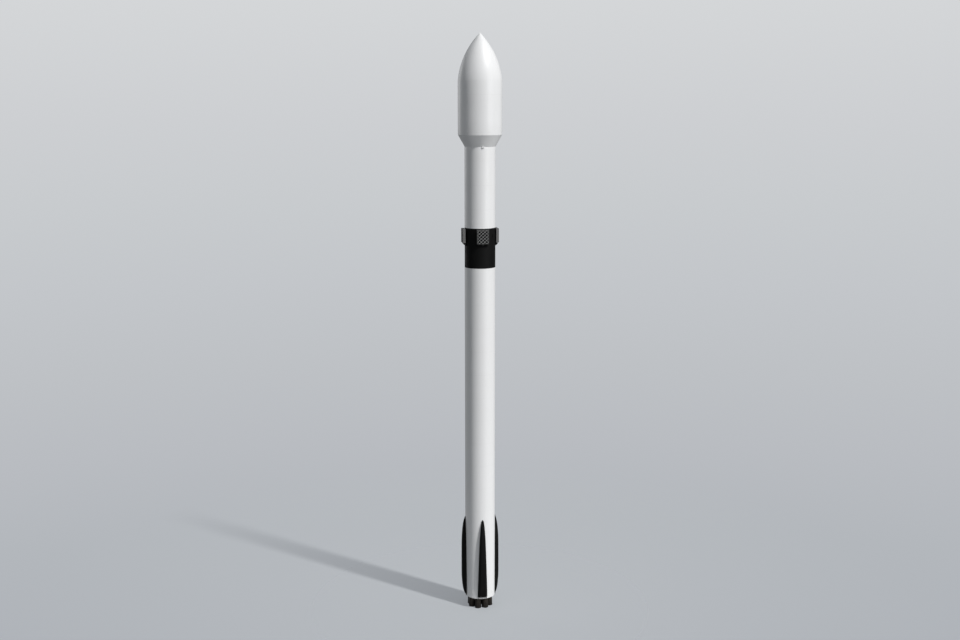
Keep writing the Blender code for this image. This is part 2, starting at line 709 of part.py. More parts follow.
def fairing_halves():
    """Two half shells, split on the plane of the X axis, each on a hinge at its foot."""
    profile = fairing_profile()
    lug = prism_mesh([
        (FAIRING_HINGE_RADIUS - FAIRING_LUG_HALF_DEPTH, FAIRING_HINGE_Z),
        (FAIRING_HINGE_RADIUS + FAIRING_LUG_HALF_DEPTH, FAIRING_HINGE_Z),
        (FAIRING_HINGE_RADIUS + FAIRING_LUG_OUTER[0], FAIRING_Z + FAIRING_LUG_OUTER[1]),
        (FAIRING_HINGE_RADIUS + FAIRING_LUG_INNER[0], FAIRING_Z + FAIRING_LUG_INNER[1]),
        (FAIRING_HINGE_RADIUS - FAIRING_LUG_HALF_DEPTH, FAIRING_Z + FAIRING_LUG_SEAT),
    ], FAIRING_LUG_HALF_WIDTH - BARREL_STEP)
    hinge = (0, FAIRING_HINGE_RADIUS, FAIRING_HINGE_Z)
    barrel = rod_mesh(hinge, "X", FAIRING_BARREL_RADIUS, 2 * FAIRING_LUG_HALF_WIDTH, PIN_FACETS)
    bore = rod_mesh(hinge, "X", FAIRING_BORE_RADIUS, 4 * FAIRING_LUG_HALF_WIDTH, PIN_FACETS,
                    half_step=True)
    reach = 2 * FAIRING_RADIUS
    side_space = box_mesh((-reach, FAIRING_SEAT, FAIRING_Z - reach),
                          (reach, reach, TIP_Z + reach))
    for side, angle in (("back", 0), ("front", 180)):
        pivot = bpy.data.objects.new(f"fairing_pivot_{side}", None)
        pivot.matrix_world = (Matrix.Rotation(math.radians(angle), 4, "Z")
                              @ Matrix.Translation(hinge))
        parts.objects.link(pivot)
        half = turned(f"fairing_{side}", profile, FAIRING_FACETS, WHITE_PAINT)
        half.parent = pivot
        half.matrix_parent_inverse = Matrix.Translation(hinge).inverted()
        for kind, tool, operation in (("side", side_space, "INTERSECT"),
                                      ("lug", lug, "UNION"), ("barrel", barrel, "UNION"),
                                      ("bore", bore, "DIFFERENCE")):
            other = helper(f"fairing_{kind}_{side}", tool)
            boolean(half, turn_to(other, angle), operation)


def fairing_hinges():
    """A small bracket under each half, with the hinge pin between its cheeks."""
    low = FAIRING_HINGE_Z - FAIRING_BRACKET_DROP
    high = FAIRING_Z - FAIRING_BRACKET_TOP_GAP
    outer = FAIRING_HINGE_RADIUS + FAIRING_BRACKET_NOSE[0]
    block = prism_mesh([
        (LEG_ROOT_RADIUS, low), (BODY_RADIUS + BRACKET_TOE, low),
        (outer, FAIRING_HINGE_Z - FAIRING_BRACKET_NOSE[1]),
        (outer, high), (LEG_ROOT_RADIUS, high),
    ], FAIRING_BRACKET_HALF_WIDTH)
    slot = box_mesh(
        (-FAIRING_SLOT_HALF_WIDTH, FAIRING_BRACKET_ROOT_RADIUS,
         FAIRING_HINGE_Z - FAIRING_SLOT_DROP),
        (FAIRING_SLOT_HALF_WIDTH, outer + CUT_OVER, high + CUT_OVER))
    pin = rod_mesh((0, FAIRING_HINGE_RADIUS, FAIRING_HINGE_Z), "X", FAIRING_PIN_RADIUS,
                   2 * (FAIRING_BRACKET_HALF_WIDTH - FAIRING_PIN_END_GAP), PIN_FACETS)
    for side, angle in (("back", 0), ("front", 180)):
        bracket = mesh_object(f"fairing_hinge_{side}", block, WHITE_PAINT)
        against_body(turn_to(bracket, angle))
        boolean(bracket, turn_to(helper(f"hinge_slot_{side}", slot), angle), "DIFFERENCE")
        boolean(bracket, turn_to(helper(f"hinge_pin_{side}", pin), angle), "UNION")


thrust_section()
heat_shield()
tanks()
landing_legs()
leg_hinges()
raceway("raceway_1", THRUST_TOP_Z + RACEWAY_END_GAP, INTERSTAGE_Z - RACEWAY_END_GAP)
interstage()
fin_brackets()
grid_fins()
engines()
gimbal_crosses()
second_stage()
raceway("raceway_2", STAGE2_Z + RACEWAY_END_GAP, FAIRING_Z - RACEWAY_TOP_GAP)
fairing_halves()
fairing_hinges()
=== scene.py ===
# %% [markdown]
# # A two-stage rocket, dressed for its portrait
#
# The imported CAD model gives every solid, joint and size. This lesson dresses it: smooth skins
# over the faceted solids, lattice fins, engine bells with cooling tubes, a fairing that is
# finished inside too, and a finish for each. Everything is in metres in the CAD's own frame,
# so a piece goes where its solid is.

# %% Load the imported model
import math

import bpy
from mathutils import Matrix, Vector


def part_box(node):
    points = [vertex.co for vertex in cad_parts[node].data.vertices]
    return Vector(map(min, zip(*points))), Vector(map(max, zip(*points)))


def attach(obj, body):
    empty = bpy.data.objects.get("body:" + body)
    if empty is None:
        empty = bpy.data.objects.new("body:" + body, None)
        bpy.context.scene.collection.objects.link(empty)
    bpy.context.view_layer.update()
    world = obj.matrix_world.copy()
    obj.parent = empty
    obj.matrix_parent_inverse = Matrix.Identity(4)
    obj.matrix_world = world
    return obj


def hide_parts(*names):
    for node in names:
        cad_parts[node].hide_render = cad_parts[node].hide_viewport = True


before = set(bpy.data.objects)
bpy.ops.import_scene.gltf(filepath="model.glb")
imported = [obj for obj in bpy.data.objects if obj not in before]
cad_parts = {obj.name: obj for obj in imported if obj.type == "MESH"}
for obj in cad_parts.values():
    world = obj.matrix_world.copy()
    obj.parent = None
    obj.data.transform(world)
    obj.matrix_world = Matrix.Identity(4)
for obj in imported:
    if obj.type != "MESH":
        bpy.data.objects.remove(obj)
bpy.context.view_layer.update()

# %% [markdown]
# ## The sizes that the pieces share
#
# A node's box gives most sizes. The few that no box shows, such as the height of the hinge
# pins, are written once, where they are first needed.

# %% Shared sizes
body_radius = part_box("fuel_tank")[1].x
fairing_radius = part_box("fairing_back")[1].x
ground_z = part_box("engine_9")[0].z
thrust_top_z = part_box("thrust_section")[1].z
tank_joint_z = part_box("fuel_tank")[1].z
interstage_z, interstage_top_z = (corner.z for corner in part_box("interstage"))
stage2_z, stage2_top_z = (corner.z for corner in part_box("stage2_tank"))
tip_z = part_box("fairing_back")[1].z
print(f"body radius {body_radius:.3f}, fairing radius {fairing_radius:.3f}, tip {tip_z:.3f}")

# %% [markdown]
# ## The camera
#
# The photograph looks down by about ten degrees from 73 m away, a little to the left of the
# fin that faces us. A long way off with a long lens keeps the body's sides nearly parallel.

# %% Camera
CAMERA_DISTANCE = 73.48
CAMERA_HEIGHT = 31.60
CAMERA_AZIMUTH = math.radians(-10)
CAMERA_PITCH = math.radians(10.4)


def direction(azimuth, elevation):
    """The way from the rocket to something at an azimuth, 0 in front, and an elevation."""
    return Vector((math.sin(azimuth) * math.cos(elevation),
                   -math.cos(azimuth) * math.cos(elevation), math.sin(elevation)))


lens = bpy.data.cameras.new("portrait")
lens.lens = 46.5
lens.sensor_width = 36
lens.clip_end = 3000
camera = bpy.data.objects.new("portrait", lens)
bpy.context.scene.collection.objects.link(camera)
camera.location = direction(CAMERA_AZIMUTH, 0) * CAMERA_DISTANCE
camera.location.z = ground_z + CAMERA_HEIGHT
camera.rotation_mode = "QUATERNION"
camera.rotation_quaternion = direction(CAMERA_AZIMUTH, CAMERA_PITCH).to_track_quat("Z", "Y")
bpy.context.scene.camera = camera
bpy.context.scene.view_settings.view_transform = "Standard"
print("camera at", [round(v, 2) for v in camera.location])

# %% [markdown]
# ## Shader maths as Python
#
# A node tree soon grows long. One small class wraps a socket, so that maths between sockets is
# written as Python's own, and every other node comes from its one method.

# %% The shader class
class Shade:
    """One output socket in a node tree."""

    def __init__(self, tree, socket=None):
        self.tree, self.socket = tree, socket

    def node(self, kind, sockets=None, out=0, stops=None, **settings):
        """Adds a node: its settings first, then its sockets' values or links."""
        node = self.tree.nodes.new(kind)
        for name, value in settings.items():
            setattr(node, name, value)
        if stops:
            ramp = node.color_ramp.elements
            while len(ramp) < len(stops):
                ramp.new(0.5)
            for stop, (place, colour) in zip(ramp, stops):
                stop.position = place
                stop.color = (*colour, 1)
        for key, value in (sockets or {}).items():
            if isinstance(value, Shade):
                self.tree.links.new(value.socket, node.inputs[key])
            elif isinstance(value, tuple) and len(node.inputs[key].default_value) > len(value):
                node.inputs[key].default_value = (*value, 1)
            else:
                node.inputs[key].default_value = value
        return Shade(self.tree, node.outputs[out] if node.outputs else None)

    def maths(self, operation, first, second=0.0):
        return self.node("ShaderNodeMath", {0: first, 1: second}, operation=operation)

    def __add__(self, other):
        return self.maths("ADD", self, other)

    __radd__ = __add__

    def __sub__(self, other):
        return self.maths("SUBTRACT", self, other)

    def __rsub__(self, other):
        return self.maths("SUBTRACT", other, self)

    def __mul__(self, other):
        return self.maths("MULTIPLY", self, other)

    __rmul__ = __mul__

    def fade(self, start, end, low=0.0, high=1.0):
        """low up to start, high from end on, and a smooth step between."""
        return self.node("ShaderNodeMapRange", {"Value": self, "From Min": start, "From Max": end,
                                                "To Min": low, "To Max": high},
                         interpolation_type="SMOOTHSTEP")

    def lines(self, pitch, width):
        """1 on lines that repeat every pitch, 0 further than width from them."""
        return self.maths("PINGPONG", self, pitch / 2).fade(0, width, 1, 0)

    def band(self, low, high, soft):
        """1 between low and high, with soft edges."""
        return self.fade(low - soft, low + soft) * self.fade(high - soft, high + soft, 1, 0)

    def noise(self, scale, detail=2.0):
        return self.node("ShaderNodeTexNoise", {"Vector": self, "Scale": scale, "Detail": detail})

    def parts(self):
        """The x, y and z of a vector."""
        node = self.node("ShaderNodeSeparateXYZ", {0: self}).socket.node
        return [Shade(self.tree, socket) for socket in node.outputs]

    def stretched(self, scale):
        return self.node("ShaderNodeMapping", {"Vector": self, "Scale": scale})

    def mix(self, first, second):
        """A colour between two, by this socket's value."""
        return self.node("ShaderNodeMix", {0: self, 6: first, 7: second}, out=2,
                         data_type="RGBA")


def grey(level, warm=0.0):
    """A linear grey, a little warmer or colder."""
    return (level * (1 + warm), level, level * (1 - warm))


def srgb(*colour):
    """A linear colour from the 0 to 255 values that a picture shows."""
    return tuple(((v / 255 + 0.055) / 1.055) ** 2.4 for v in colour)


# %% [markdown]
# ## Floor, backdrop and light
#
# The backdrop is a plain gradient, darker towards our feet, and the floor melts into it without
# a horizon. So the world shows the gradient to the camera alone and lights the scene with a
# pale grey, brighter from above, and the floor fades out with its distance from the rocket. A small sun high on our
# right gives the sharp edge and the long shadow. A low wide one on the same side reaches under
# the fairing's foot, a weak one behind on the left gives the thin light edge on the dark side,
# and the faintest stands in front.

# %% The world
BACKDROP = ((-0.45, (171, 175, 181)), (-0.417, (174, 178, 184)), (-0.335, (179, 183, 188)),
            (-0.2745, (185, 188, 193)), (-0.212, (190, 193, 197)), (-0.149, (195, 198, 202)),
            (-0.085, (200, 203, 206)), (-0.022, (205, 207, 210)), (0.067, (212, 214, 216)),
            (0.10, (214, 216, 218)))
AMBIENT = 0.190

world = bpy.data.worlds.new("studio")
bpy.context.scene.world = world
world.use_nodes = True
world.node_tree.nodes.clear()
sky = Shade(world.node_tree)
height = sky.node("ShaderNodeTexCoord", out="Generated").parts()[2]
low, high = BACKDROP[0][0], BACKDROP[-1][0]
level = (height - low) * (1 / (high - low))
gradient = level.node("ShaderNodeValToRGB", {"Fac": level}, out="Color", stops=[
    ((z - low) / (high - low), srgb(*colour)) for z, colour in BACKDROP])
seen = sky.node("ShaderNodeBackground", {"Color": gradient})
lit = sky.node("ShaderNodeBackground", {"Color": (0.92, 0.97, 1.02),
                                        "Strength": (height * 0.5 + 1) * AMBIENT})
to_camera = sky.node("ShaderNodeLightPath", out="Is Camera Ray")
sky.node("ShaderNodeOutputWorld",
         {"Surface": sky.node("ShaderNodeMixShader", {0: to_camera, 1: lit, 2: seen})})
print("backdrop in", len(BACKDROP), "steps")

# %% The floor
FLOOR_RADIUS = 60.0
FLOOR_FADE = 29.5
FLOOR_STRENGTH = 0.56
bpy.ops.object.select_all(action="DESELECT")
bpy.ops.mesh.primitive_circle_add(vertices=96, radius=FLOOR_RADIUS, fill_type="NGON",
                                  location=(0, 0, ground_z))
floor = bpy.context.object
floor.name = "floor"
floor_paint = bpy.data.materials.new("floor")
floor_paint.use_nodes = True
floor_paint.node_tree.nodes.clear()
ground = Shade(floor_paint.node_tree)
spot = ground.node("ShaderNodeTexCoord", out="Object")
far = ground.node("ShaderNodeVectorMath", {0: spot}, out="Value", operation="LENGTH")
strength = ground.node("ShaderNodeMapRange", {"Value": far, "From Min": 0, "From Max": FLOOR_FADE,
                                              "To Min": FLOOR_STRENGTH, "To Max": 0})
strength = strength * (1 - ground.node("ShaderNodeNewGeometry", out="Backfacing"))
card = ground.node("ShaderNodeBsdfDiffuse", {"Color": (0.572, 0.592, 0.607)})
clear = ground.node("ShaderNodeBsdfTransparent")
ground.node("ShaderNodeOutputMaterial",
            {"Surface": ground.node("ShaderNodeMixShader", {0: strength, 1: clear, 2: card})})
floor.data.materials.append(floor_paint)

# %% The lights
# name, azimuth, elevation, strength, angle across
SUNS = (
    ("key", 44.0, 46, 2.62, 2.5),
    ("low", 42.0, 3, 0.74, 20.0),
    ("rim", -146, 6, 0.46, 30.0),
    ("front", 0.0, 12, 0.20, 60.0),
)
for name, azimuth, elevation, strength, across in SUNS:
    sun = bpy.data.lights.new(name, "SUN")
    sun.energy = strength
    sun.angle = math.radians(across)
    lamp = bpy.data.objects.new(name, sun)
    bpy.context.scene.collection.objects.link(lamp)
    lamp.rotation_mode = "QUATERNION"
    aim = direction(math.radians(azimuth), math.radians(elevation))
    lamp.rotation_quaternion = aim.to_track_quat("Z", "Y")
    print("sun", name, "at azimuth", azimuth, "elevation", elevation)

# %% [markdown]
# ## How the finishes find their place
#
# A fin's scratches must turn with the fin, and a bell's tubes run round its own axis. So each
# piece is finished while it still stands in its first place, and there its points' places are
# kept in an attribute called own. All finishes read it. Copies keep the attribute when they
# are moved to their places.

# %% Starting and closing a finish
def finish(name):
    """An empty material, and the place on the piece that its pattern reads."""
    material = bpy.data.materials.new(name)
    material.use_nodes = True
    material.node_tree.nodes.clear()
    place = Shade(material.node_tree).node("ShaderNodeAttribute", out="Vector",
                                           attribute_name="own")
    return material, place


def close_finish(place, base, roughness, height, depth, **constants):
    """Joins colour, roughness and relief to the surface; constants go on its own sockets."""
    bump = place.node("ShaderNodeBump", {"Height": height, "Distance": depth}, out="Normal")
    sockets = {"Base Color": base, "Roughness": roughness, "Normal": bump}
    sockets.update({key.replace("_", " "): value for key, value in constants.items()})
    surface = place.node("ShaderNodeBsdfPrincipled", sockets)
    place.node("ShaderNodeOutputMaterial", {"Surface": surface})


# %% [markdown]
# ## White paint
#
# Tanks and fairing are painted white over welded barrels or composite. Close up the paint has a
# fine orange-peel surface, faint clouds in its tone, and a weld seam every barrel length.

# %% White paint
WELD_PITCH = 1.42


def white_paint(name, seams, level=0.80):
    """White paint, with a faint seam at each multiple of seams in height."""
    material, place = finish(name)
    x, y, z = place.parts()
    clouds = place.noise(0.9, 4.0).fade(0.3, 0.7)
    streaks = place.stretched((14, 14, 0.35)).noise(1.0, 3.0).fade(0.35, 0.75)
    weld = z.lines(seams, 0.006)
    base = (clouds * 0.5 + streaks * 0.5).mix(grey(level), grey(level * 0.975, 0.004))
    base = (weld * 0.35).mix(base, grey(level * 0.62))
    peel = place.noise(260, 2.0)
    roughness = 0.38 + clouds * 0.06 + weld * 0.10
    relief = peel * 0.08 + z.lines(seams, 0.014) * 0.9
    close_finish(place, base, roughness, relief, 0.0012)
    return material


tank_white = white_paint("tank_white", WELD_PITCH)
fairing_white = white_paint("fairing_white", 3.08, 0.81)
print("white finishes:", tank_white.name, fairing_white.name)

# %% [markdown]
# ## Black composite
#
# Legs and interstage are carbon fibre under a black coat. Under a lens the cloth's weave just
# shows through, and the coat is a little duller where hands and weather reached it.

# %% Black composite
def black_composite(name, level=0.0045, rough=0.58):
    material, place = finish(name)
    x, y, z = place.parts()
    across = x.lines(0.007, 0.0035) * z.lines(0.007, 0.0035)
    worn = place.noise(2.2, 5.0).fade(0.42, 0.72)
    specks = place.noise(75, 2.0).fade(0.62, 0.72)
    base = (worn * 0.6).mix(grey(level), grey(level * 1.6))
    base = (specks * 0.25).mix(base, grey(level * 3))
    roughness = rough + worn * 0.12 - specks * 0.08
    close_finish(place, base, roughness, across * 0.4 + place.noise(40, 2.0) * 0.4, 0.0005,
                 Specular_IOR_Level=0.10)
    return material


black_shell = black_composite("black_shell")

# %% [markdown]
# ## Metals
#
# The fins are cast titanium, grey and grainy with a straw tint of heat. The bells are brown-black
# with soot, and their tubes run down from the throat. Hinges and gimbals are bright steel, and
# the adapter inside the fairing is clean aluminium.

# %% Metals
FIN_OPEN_X = 0.327
FIN_OPEN_LOW, FIN_OPEN_HIGH = 22.168, 22.952
FIN_FACE = 1.080


def cast_titanium():
    """Grey metal on the bars' outer faces and painted shade, near black, on the cell walls behind them; the frame
    darker, its outer face darkest, and the root arm below it near black.
    """
    material, place = finish("cast_titanium")
    x, y, z = place.parts()
    grain = place.noise(120, 3.0)
    heat = place.noise(3.0, 3.0).fade(0.35, 0.70)
    base = heat.mix(grey(0.30, 0.004), (0.31, 0.30, 0.285))
    base = (grain.fade(0.55, 0.75) * 0.4).mix(base, grey(0.19))
    inside = x.band(-FIN_OPEN_X, FIN_OPEN_X, 0.002) * z.band(FIN_OPEN_LOW, FIN_OPEN_HIGH, 0.002)
    outer = y.fade(FIN_FACE - 0.006, FIN_FACE - 0.002)
    # Painted shade: the cell walls behind the bars' outer faces go near black.
    painted_cell_shade = y.fade(FIN_FACE - 0.034, FIN_FACE - 0.004, 1.0, 0.0) * inside
    base = (painted_cell_shade * 0.98).mix(base, grey(0.005))
    base = ((1 - inside) * 0.60).mix(base, grey(0.060))
    base = (outer * inside * 0.9).mix(base, grey(0.27))
    base = (outer * (1 - inside) * 0.8).mix(base, grey(0.020))
    base = z.fade(FIN_OPEN_LOW - 0.045, FIN_OPEN_LOW - 0.030, 0.97, 0.0).mix(base, grey(0.005))
    close_finish(place, base, 0.50 + grain * 0.22, grain, 0.0015, Metallic=0.30)
    return material


def sooty_bell():
    material, place = finish("sooty_bell")
    x, y, z = place.parts()
    turn = z.maths("ARCTAN2", y, x)
    tubes = turn.lines(math.tau / 120, math.tau / 240)
    soot = place.stretched((9, 9, 2.5)).noise(1.0, 4.0).fade(0.30, 0.72)
    bands = z.fade(-0.62, 0.10)
    base = bands.mix((0.030, 0.025, 0.021), (0.050, 0.042, 0.035))
    base = (soot * 0.7).mix(base, (0.014, 0.012, 0.011))
    roughness = 0.46 + soot * 0.25
    close_finish(place, base, roughness, tubes + place.noise(60, 2.0) * 0.25, 0.002,
                 Metallic=0.75)
    return material


def brushed_metal(name, level, rough, warm=0.0):
    material, place = finish(name)
    brush = place.stretched((30, 30, 900)).noise(1.0, 2.0)
    wear = place.noise(6.0, 4.0).fade(0.35, 0.75)
    base = (wear * 0.5).mix(grey(level, warm), grey(level * 0.72, warm))
    close_finish(place, base, rough + brush * 0.12 + wear * 0.08, brush, 0.0004, Metallic=1.0)
    return material


fin_metal = cast_titanium()
bell_metal = sooty_bell()
steel = brushed_metal("bare_steel", 0.36, 0.34)
aluminium = brushed_metal("bare_aluminium", 0.62, 0.38, 0.004)

# %% [markdown]
# ## Insulation
#
# The base is closed by a dark ablative shield laid in panels, and the fairing is lined with
# quilted pale blankets that keep the noise off the payload.

# %% Shield and blankets
def shield_finish():
    material, place = finish("dark_shield")
    x, y, z = place.parts()
    seams = (z.maths("ARCTAN2", y, x) + math.pi / 8).lines(math.tau / 8, 0.012)
    char = place.noise(7.0, 5.0).fade(0.30, 0.70)
    base = char.mix(grey(0.036, 0.02), grey(0.020))
    base = (seams * 0.7).mix(base, grey(0.008))
    close_finish(place, base, 0.66 + char * 0.2, char * 0.5 - seams + place.noise(90, 2.0) * 0.3,
                 0.002)
    return material


def blanket_finish():
    material, place = finish("quilted_blanket")
    x, y, z = place.parts()
    turn = z.maths("ARCTAN2", y, x)
    quilt = z.maths("MAXIMUM", z.lines(0.50, 0.05), turn.lines(math.tau / 24, 0.04))
    stitch = z.maths("MAXIMUM", z.lines(0.50, 0.006), turn.lines(math.tau / 24, 0.005))
    cloth = place.noise(180, 2.0)
    base = (stitch * 0.6).mix(grey(0.62, 0.015), grey(0.30))
    close_finish(place, base, 0.78 + cloth * 0.1, cloth * 0.05 - quilt, 0.006)
    return material


dark_shield = shield_finish()
blanket = blanket_finish()
print("finishes:", len([m for m in bpy.data.materials if m.use_nodes]))

# %% [markdown]
# ## Drawing a profile and spinning it
#
# Nearly everything on a rocket is round. By hand one would draw half of the section as a chain
# of points and spin it round the axis. A plane merged to its middle gives the first point, and
# each extrude adds the next. The profile is closed, so the spun piece is a true shell.

# %% The spin helper
SEGMENTS = 96
SMOOTH_ANGLE = math.radians(20)


def start():
    """Object mode with nothing selected, before a primitive is added."""
    if bpy.context.object and bpy.context.object.mode == "EDIT":
        bpy.ops.object.mode_set(mode="OBJECT")
    bpy.ops.object.select_all(action="DESELECT")


def close_up(piece, name, merge=0.00005):
    """Merges doubles, drops loose edges, points faces outwards, puts the object at the origin."""
    bpy.ops.object.mode_set(mode="EDIT")
    bpy.ops.mesh.select_all(action="SELECT")
    bpy.ops.mesh.remove_doubles(threshold=merge)
    bpy.ops.mesh.delete_loose()
    bpy.ops.mesh.normals_make_consistent(inside=False)
    bpy.ops.object.mode_set(mode="OBJECT")
    bpy.ops.object.transform_apply(location=True, rotation=True, scale=True)
    bpy.ops.object.shade_smooth_by_angle(angle=SMOOTH_ANGLE)
    piece.name = name
    return piece


def spun(name, profile, segments=SEGMENTS, angle=math.tau, axis="Z"):
    """A closed profile of (radius, height) points, spun from +X towards +Y round the axis."""
    start()
    radius, height = profile[0]
    bpy.ops.mesh.primitive_plane_add(size=0.01, location=(radius, 0, height))
    bpy.ops.object.mode_set(mode="EDIT")
    bpy.ops.mesh.select_mode(type="VERT")
    bpy.ops.mesh.merge(type="CENTER")
    for (r0, z0), (r1, z1) in zip(profile, profile[1:] + profile[:1]):
        bpy.ops.mesh.extrude_region_move(
            TRANSFORM_OT_translate={"value": (r1 - r0, 0, z1 - z0)})
    bpy.ops.mesh.select_all(action="SELECT")
    bpy.ops.mesh.remove_doubles(threshold=0.00005)
    if angle < math.tau:
        bpy.ops.mesh.edge_face_add()
    bpy.ops.mesh.spin(steps=segments, angle=-angle, center=(0, 0, 0), axis=(0, 0, 1))
    piece = bpy.context.object
    bpy.ops.object.mode_set(mode="OBJECT")
    bpy.ops.object.transform_apply(location=True)
    if axis == "X":
        piece.rotation_euler = (0, math.radians(90), 0)
    if axis == "Y":
        piece.rotation_euler = (math.radians(90), 0, 0)
    return close_up(piece, name)


def modified(piece, kind, **settings):
    """Adds a modifier and applies it."""
    start()
    piece.select_set(True)
    bpy.context.view_layer.objects.active = piece
    step = piece.modifiers.new(kind.lower(), kind)
    for name, value in settings.items():
        setattr(step, name, value)
    bpy.ops.object.modifier_apply(modifier=step.name)
    return piece


def joined(name, *pieces):
    """Several objects made one."""
    start()
    for piece in pieces:
        piece.select_set(True)
    bpy.context.view_layer.objects.active = pieces[0]
    bpy.ops.object.join()
    pieces[0].name = name
    return pieces[0]


def block(name, low, high, bevel=0.0, taper=(1.0, 1.0)):
    """A box between two corners with rounded edges; its upper face is scaled by taper."""
    start()
    low, high = Vector(low), Vector(high)
    bpy.ops.mesh.primitive_cube_add(size=1, location=(low + high) / 2)
    piece = bpy.context.object
    piece.scale = high - low
    bpy.ops.object.transform_apply(location=False, rotation=False, scale=True)
    if taper != (1.0, 1.0):
        for vertex in piece.data.vertices:
            vertex.select = vertex.co.z > 0
        bpy.ops.object.mode_set(mode="EDIT")
        bpy.ops.transform.resize(value=(*taper, 1), center_override=(low + high) / 2)
        bpy.ops.object.mode_set(mode="OBJECT")
    if bevel:
        modified(piece, "BEVEL", width=bevel, segments=3, limit_method="ANGLE")
    return close_up(piece, name)


def placed(piece, shift=(0, 0, 0), turn=0.0, about=(0, 0, 1)):
    """Moves a piece's mesh, so that its object stays at the origin."""
    piece.data.transform(Matrix.Translation(shift) @ Matrix.Rotation(math.radians(turn), 4, about))
    return piece


def copied(piece, name, shift=(0, 0, 0), turn=0.0):
    """A copy with its own mesh, turned round the rocket's axis and moved."""
    twin = piece.copy()
    twin.data = piece.data.copy()
    twin.name = twin.data.name = name
    bpy.context.scene.collection.objects.link(twin)
    return placed(twin, shift, turn)


def remember(piece):
    """Keeps each point's present place in the attribute that the finishes read."""
    own = piece.data.attributes.new("own", "FLOAT_VECTOR", "POINT")
    own.data.foreach_set("vector", [value for vertex in piece.data.vertices for value in vertex.co])
    return piece


def dressed(piece, material, slot, body, *nodes):
    """Gives a finished piece its material and body, and hides the nodes that it stands for; slot is not used."""
    if "own" not in piece.data.attributes:
        remember(piece)
    piece.data.materials.clear()
    piece.data.materials.append(material)
    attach(piece, body)
    if nodes:
        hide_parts(*nodes)
    print(f"{piece.name}: {sum(len(f.vertices) - 2 for f in piece.data.polygons)} triangles")
    return piece


# %% [markdown]
# ## Fasteners, doors and covers
#
# Rows of small heads hold the panels, and thin curved plates close the openings behind them. A
# plate is its own section spun through a few degrees. A fitting is modelled once at the origin,
# and a ray onto the finished piece finds where each copy sits and how it leans.

# %% Placing fittings by rays
def inward(radius, height, turn):
    """A ray towards the rocket's axis; turn is in degrees from +X."""
    way = Vector((math.cos(math.radians(turn)), math.sin(math.radians(turn)), 0))
    return way * radius + Vector((0, 0, height)), -way


def ring(count, height, first=0.0, span=360.0, radius=2.0):
    """Inward rays, evenly spread round the axis or over a part of the way round."""
    return [inward(radius, height, first + span / count * i) for i in range(count)]


def fitted(host, part, rays):
    """Joins a copy of part to host wherever a ray first meets it, leaning as its surface does."""
    bpy.context.view_layer.update()
    copies = []
    for start_point, way in rays:
        found, spot, normal, face = host.ray_cast(start_point, way)
        if found:
            twin = copied(part, "fitting")
            twin.data.transform(Matrix.Translation(spot)
                                @ normal.to_track_quat("Z", "Y").to_matrix().to_4x4())
            copies.append(twin)
    return joined(host.name, host, *copies)


def cap(name, radius, rise, segments=8):
    """A low round head or lid with a chamfered rim, its foot just under the surface."""
    return spun(name, [(0.0, -rise), (radius, -rise), (radius, rise * 0.5),
                       (radius - rise * 0.5, rise), (0.0, rise)], segments)


def plate(name, turn, half_angle, low, high, radius, rise=0.003, depth=0.004):
    """A thin door on a round wall, turn degrees from +X."""
    door = spun(name, [(radius - depth, low), (radius + rise, low), (radius + rise, high),
                       (radius - depth, high)], max(3, int(half_angle)),
                math.radians(2 * half_angle))
    placed(door, turn=turn - half_angle)
    return modified(door, "BEVEL", width=0.0012, segments=1, limit_method="ANGLE",
                    angle_limit=math.radians(60))


head = cap("head", 0.007, 0.0022)
small_head = cap("small_head", 0.005, 0.0018)
QUARTERS = (45, 135, 225, 315)

# %% [markdown]
# ## The tanks
#
# Two long white barrels and the second stage. Real barrels meet in a narrow ring, so the
# profile has a shallow groove at each joint, small enough to keep the solid's form.

# %% Tanks
GROOVE = 0.004


def barrel(name, low, high, extra_top=()):
    """A closed drum with a chamfer at both ends, so that a fine groove shows at each joint."""
    top = list(extra_top) or [(0.0, high)]
    return spun(name, [(0.0, low), (body_radius - GROOVE, low), (body_radius, low + GROOVE),
                       (body_radius, high - GROOVE), (body_radius - GROOVE, high)] + top[::-1])


DOME_RADIUS = 0.885
dome_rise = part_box("oxidiser_tank")[1].z - interstage_z
dome = [(DOME_RADIUS * math.sin(a), interstage_z + dome_rise * math.cos(a))
        for a in (math.radians(7.5 * i) for i in range(13))]
fuel_tank = barrel("fuel_tank_skin", thrust_top_z, tank_joint_z)
oxidiser_tank = barrel("oxidiser_tank_skin", tank_joint_z, interstage_z, dome)
stage2_tank = barrel("stage2_skin", stage2_z, stage2_top_z)
oxidiser_tank = joined("oxidiser_tank_skin", oxidiser_tank,
                       plate("tank_door", 135, 9, 19.95, 20.25, body_radius))
stage2_tank = joined("stage2_skin", stage2_tank,
                     plate("stage2_door_low", 225, 7, 23.25, 23.50, body_radius),
                     plate("stage2_door_high", 45, 8, 27.22, 27.50, body_radius))
stage2_tank = fitted(stage2_tank, head, ring(72, stage2_z + 0.045) + ring(72, stage2_top_z - 0.05))
fuel_tank = fitted(fuel_tank, head, ring(72, thrust_top_z + 0.045))
oxidiser_tank = fitted(oxidiser_tank, head, ring(72, interstage_z - 0.045))
dressed(fuel_tank, tank_white, "white_paint", "first_stage", "fuel_tank")
dressed(oxidiser_tank, tank_white, "white_paint", "first_stage", "oxidiser_tank")
dressed(stage2_tank, tank_white, "white_paint", "second_stage", "stage2_tank")

# %% [markdown]
# ## The thrust section
#
# The skirt round the engines is a drum that is open below. A thick ring closes its lower edge,
# where the launch mount clamps on, and a plate across it carries the engines. Between the legs
# four clamp pads stand on the ring.

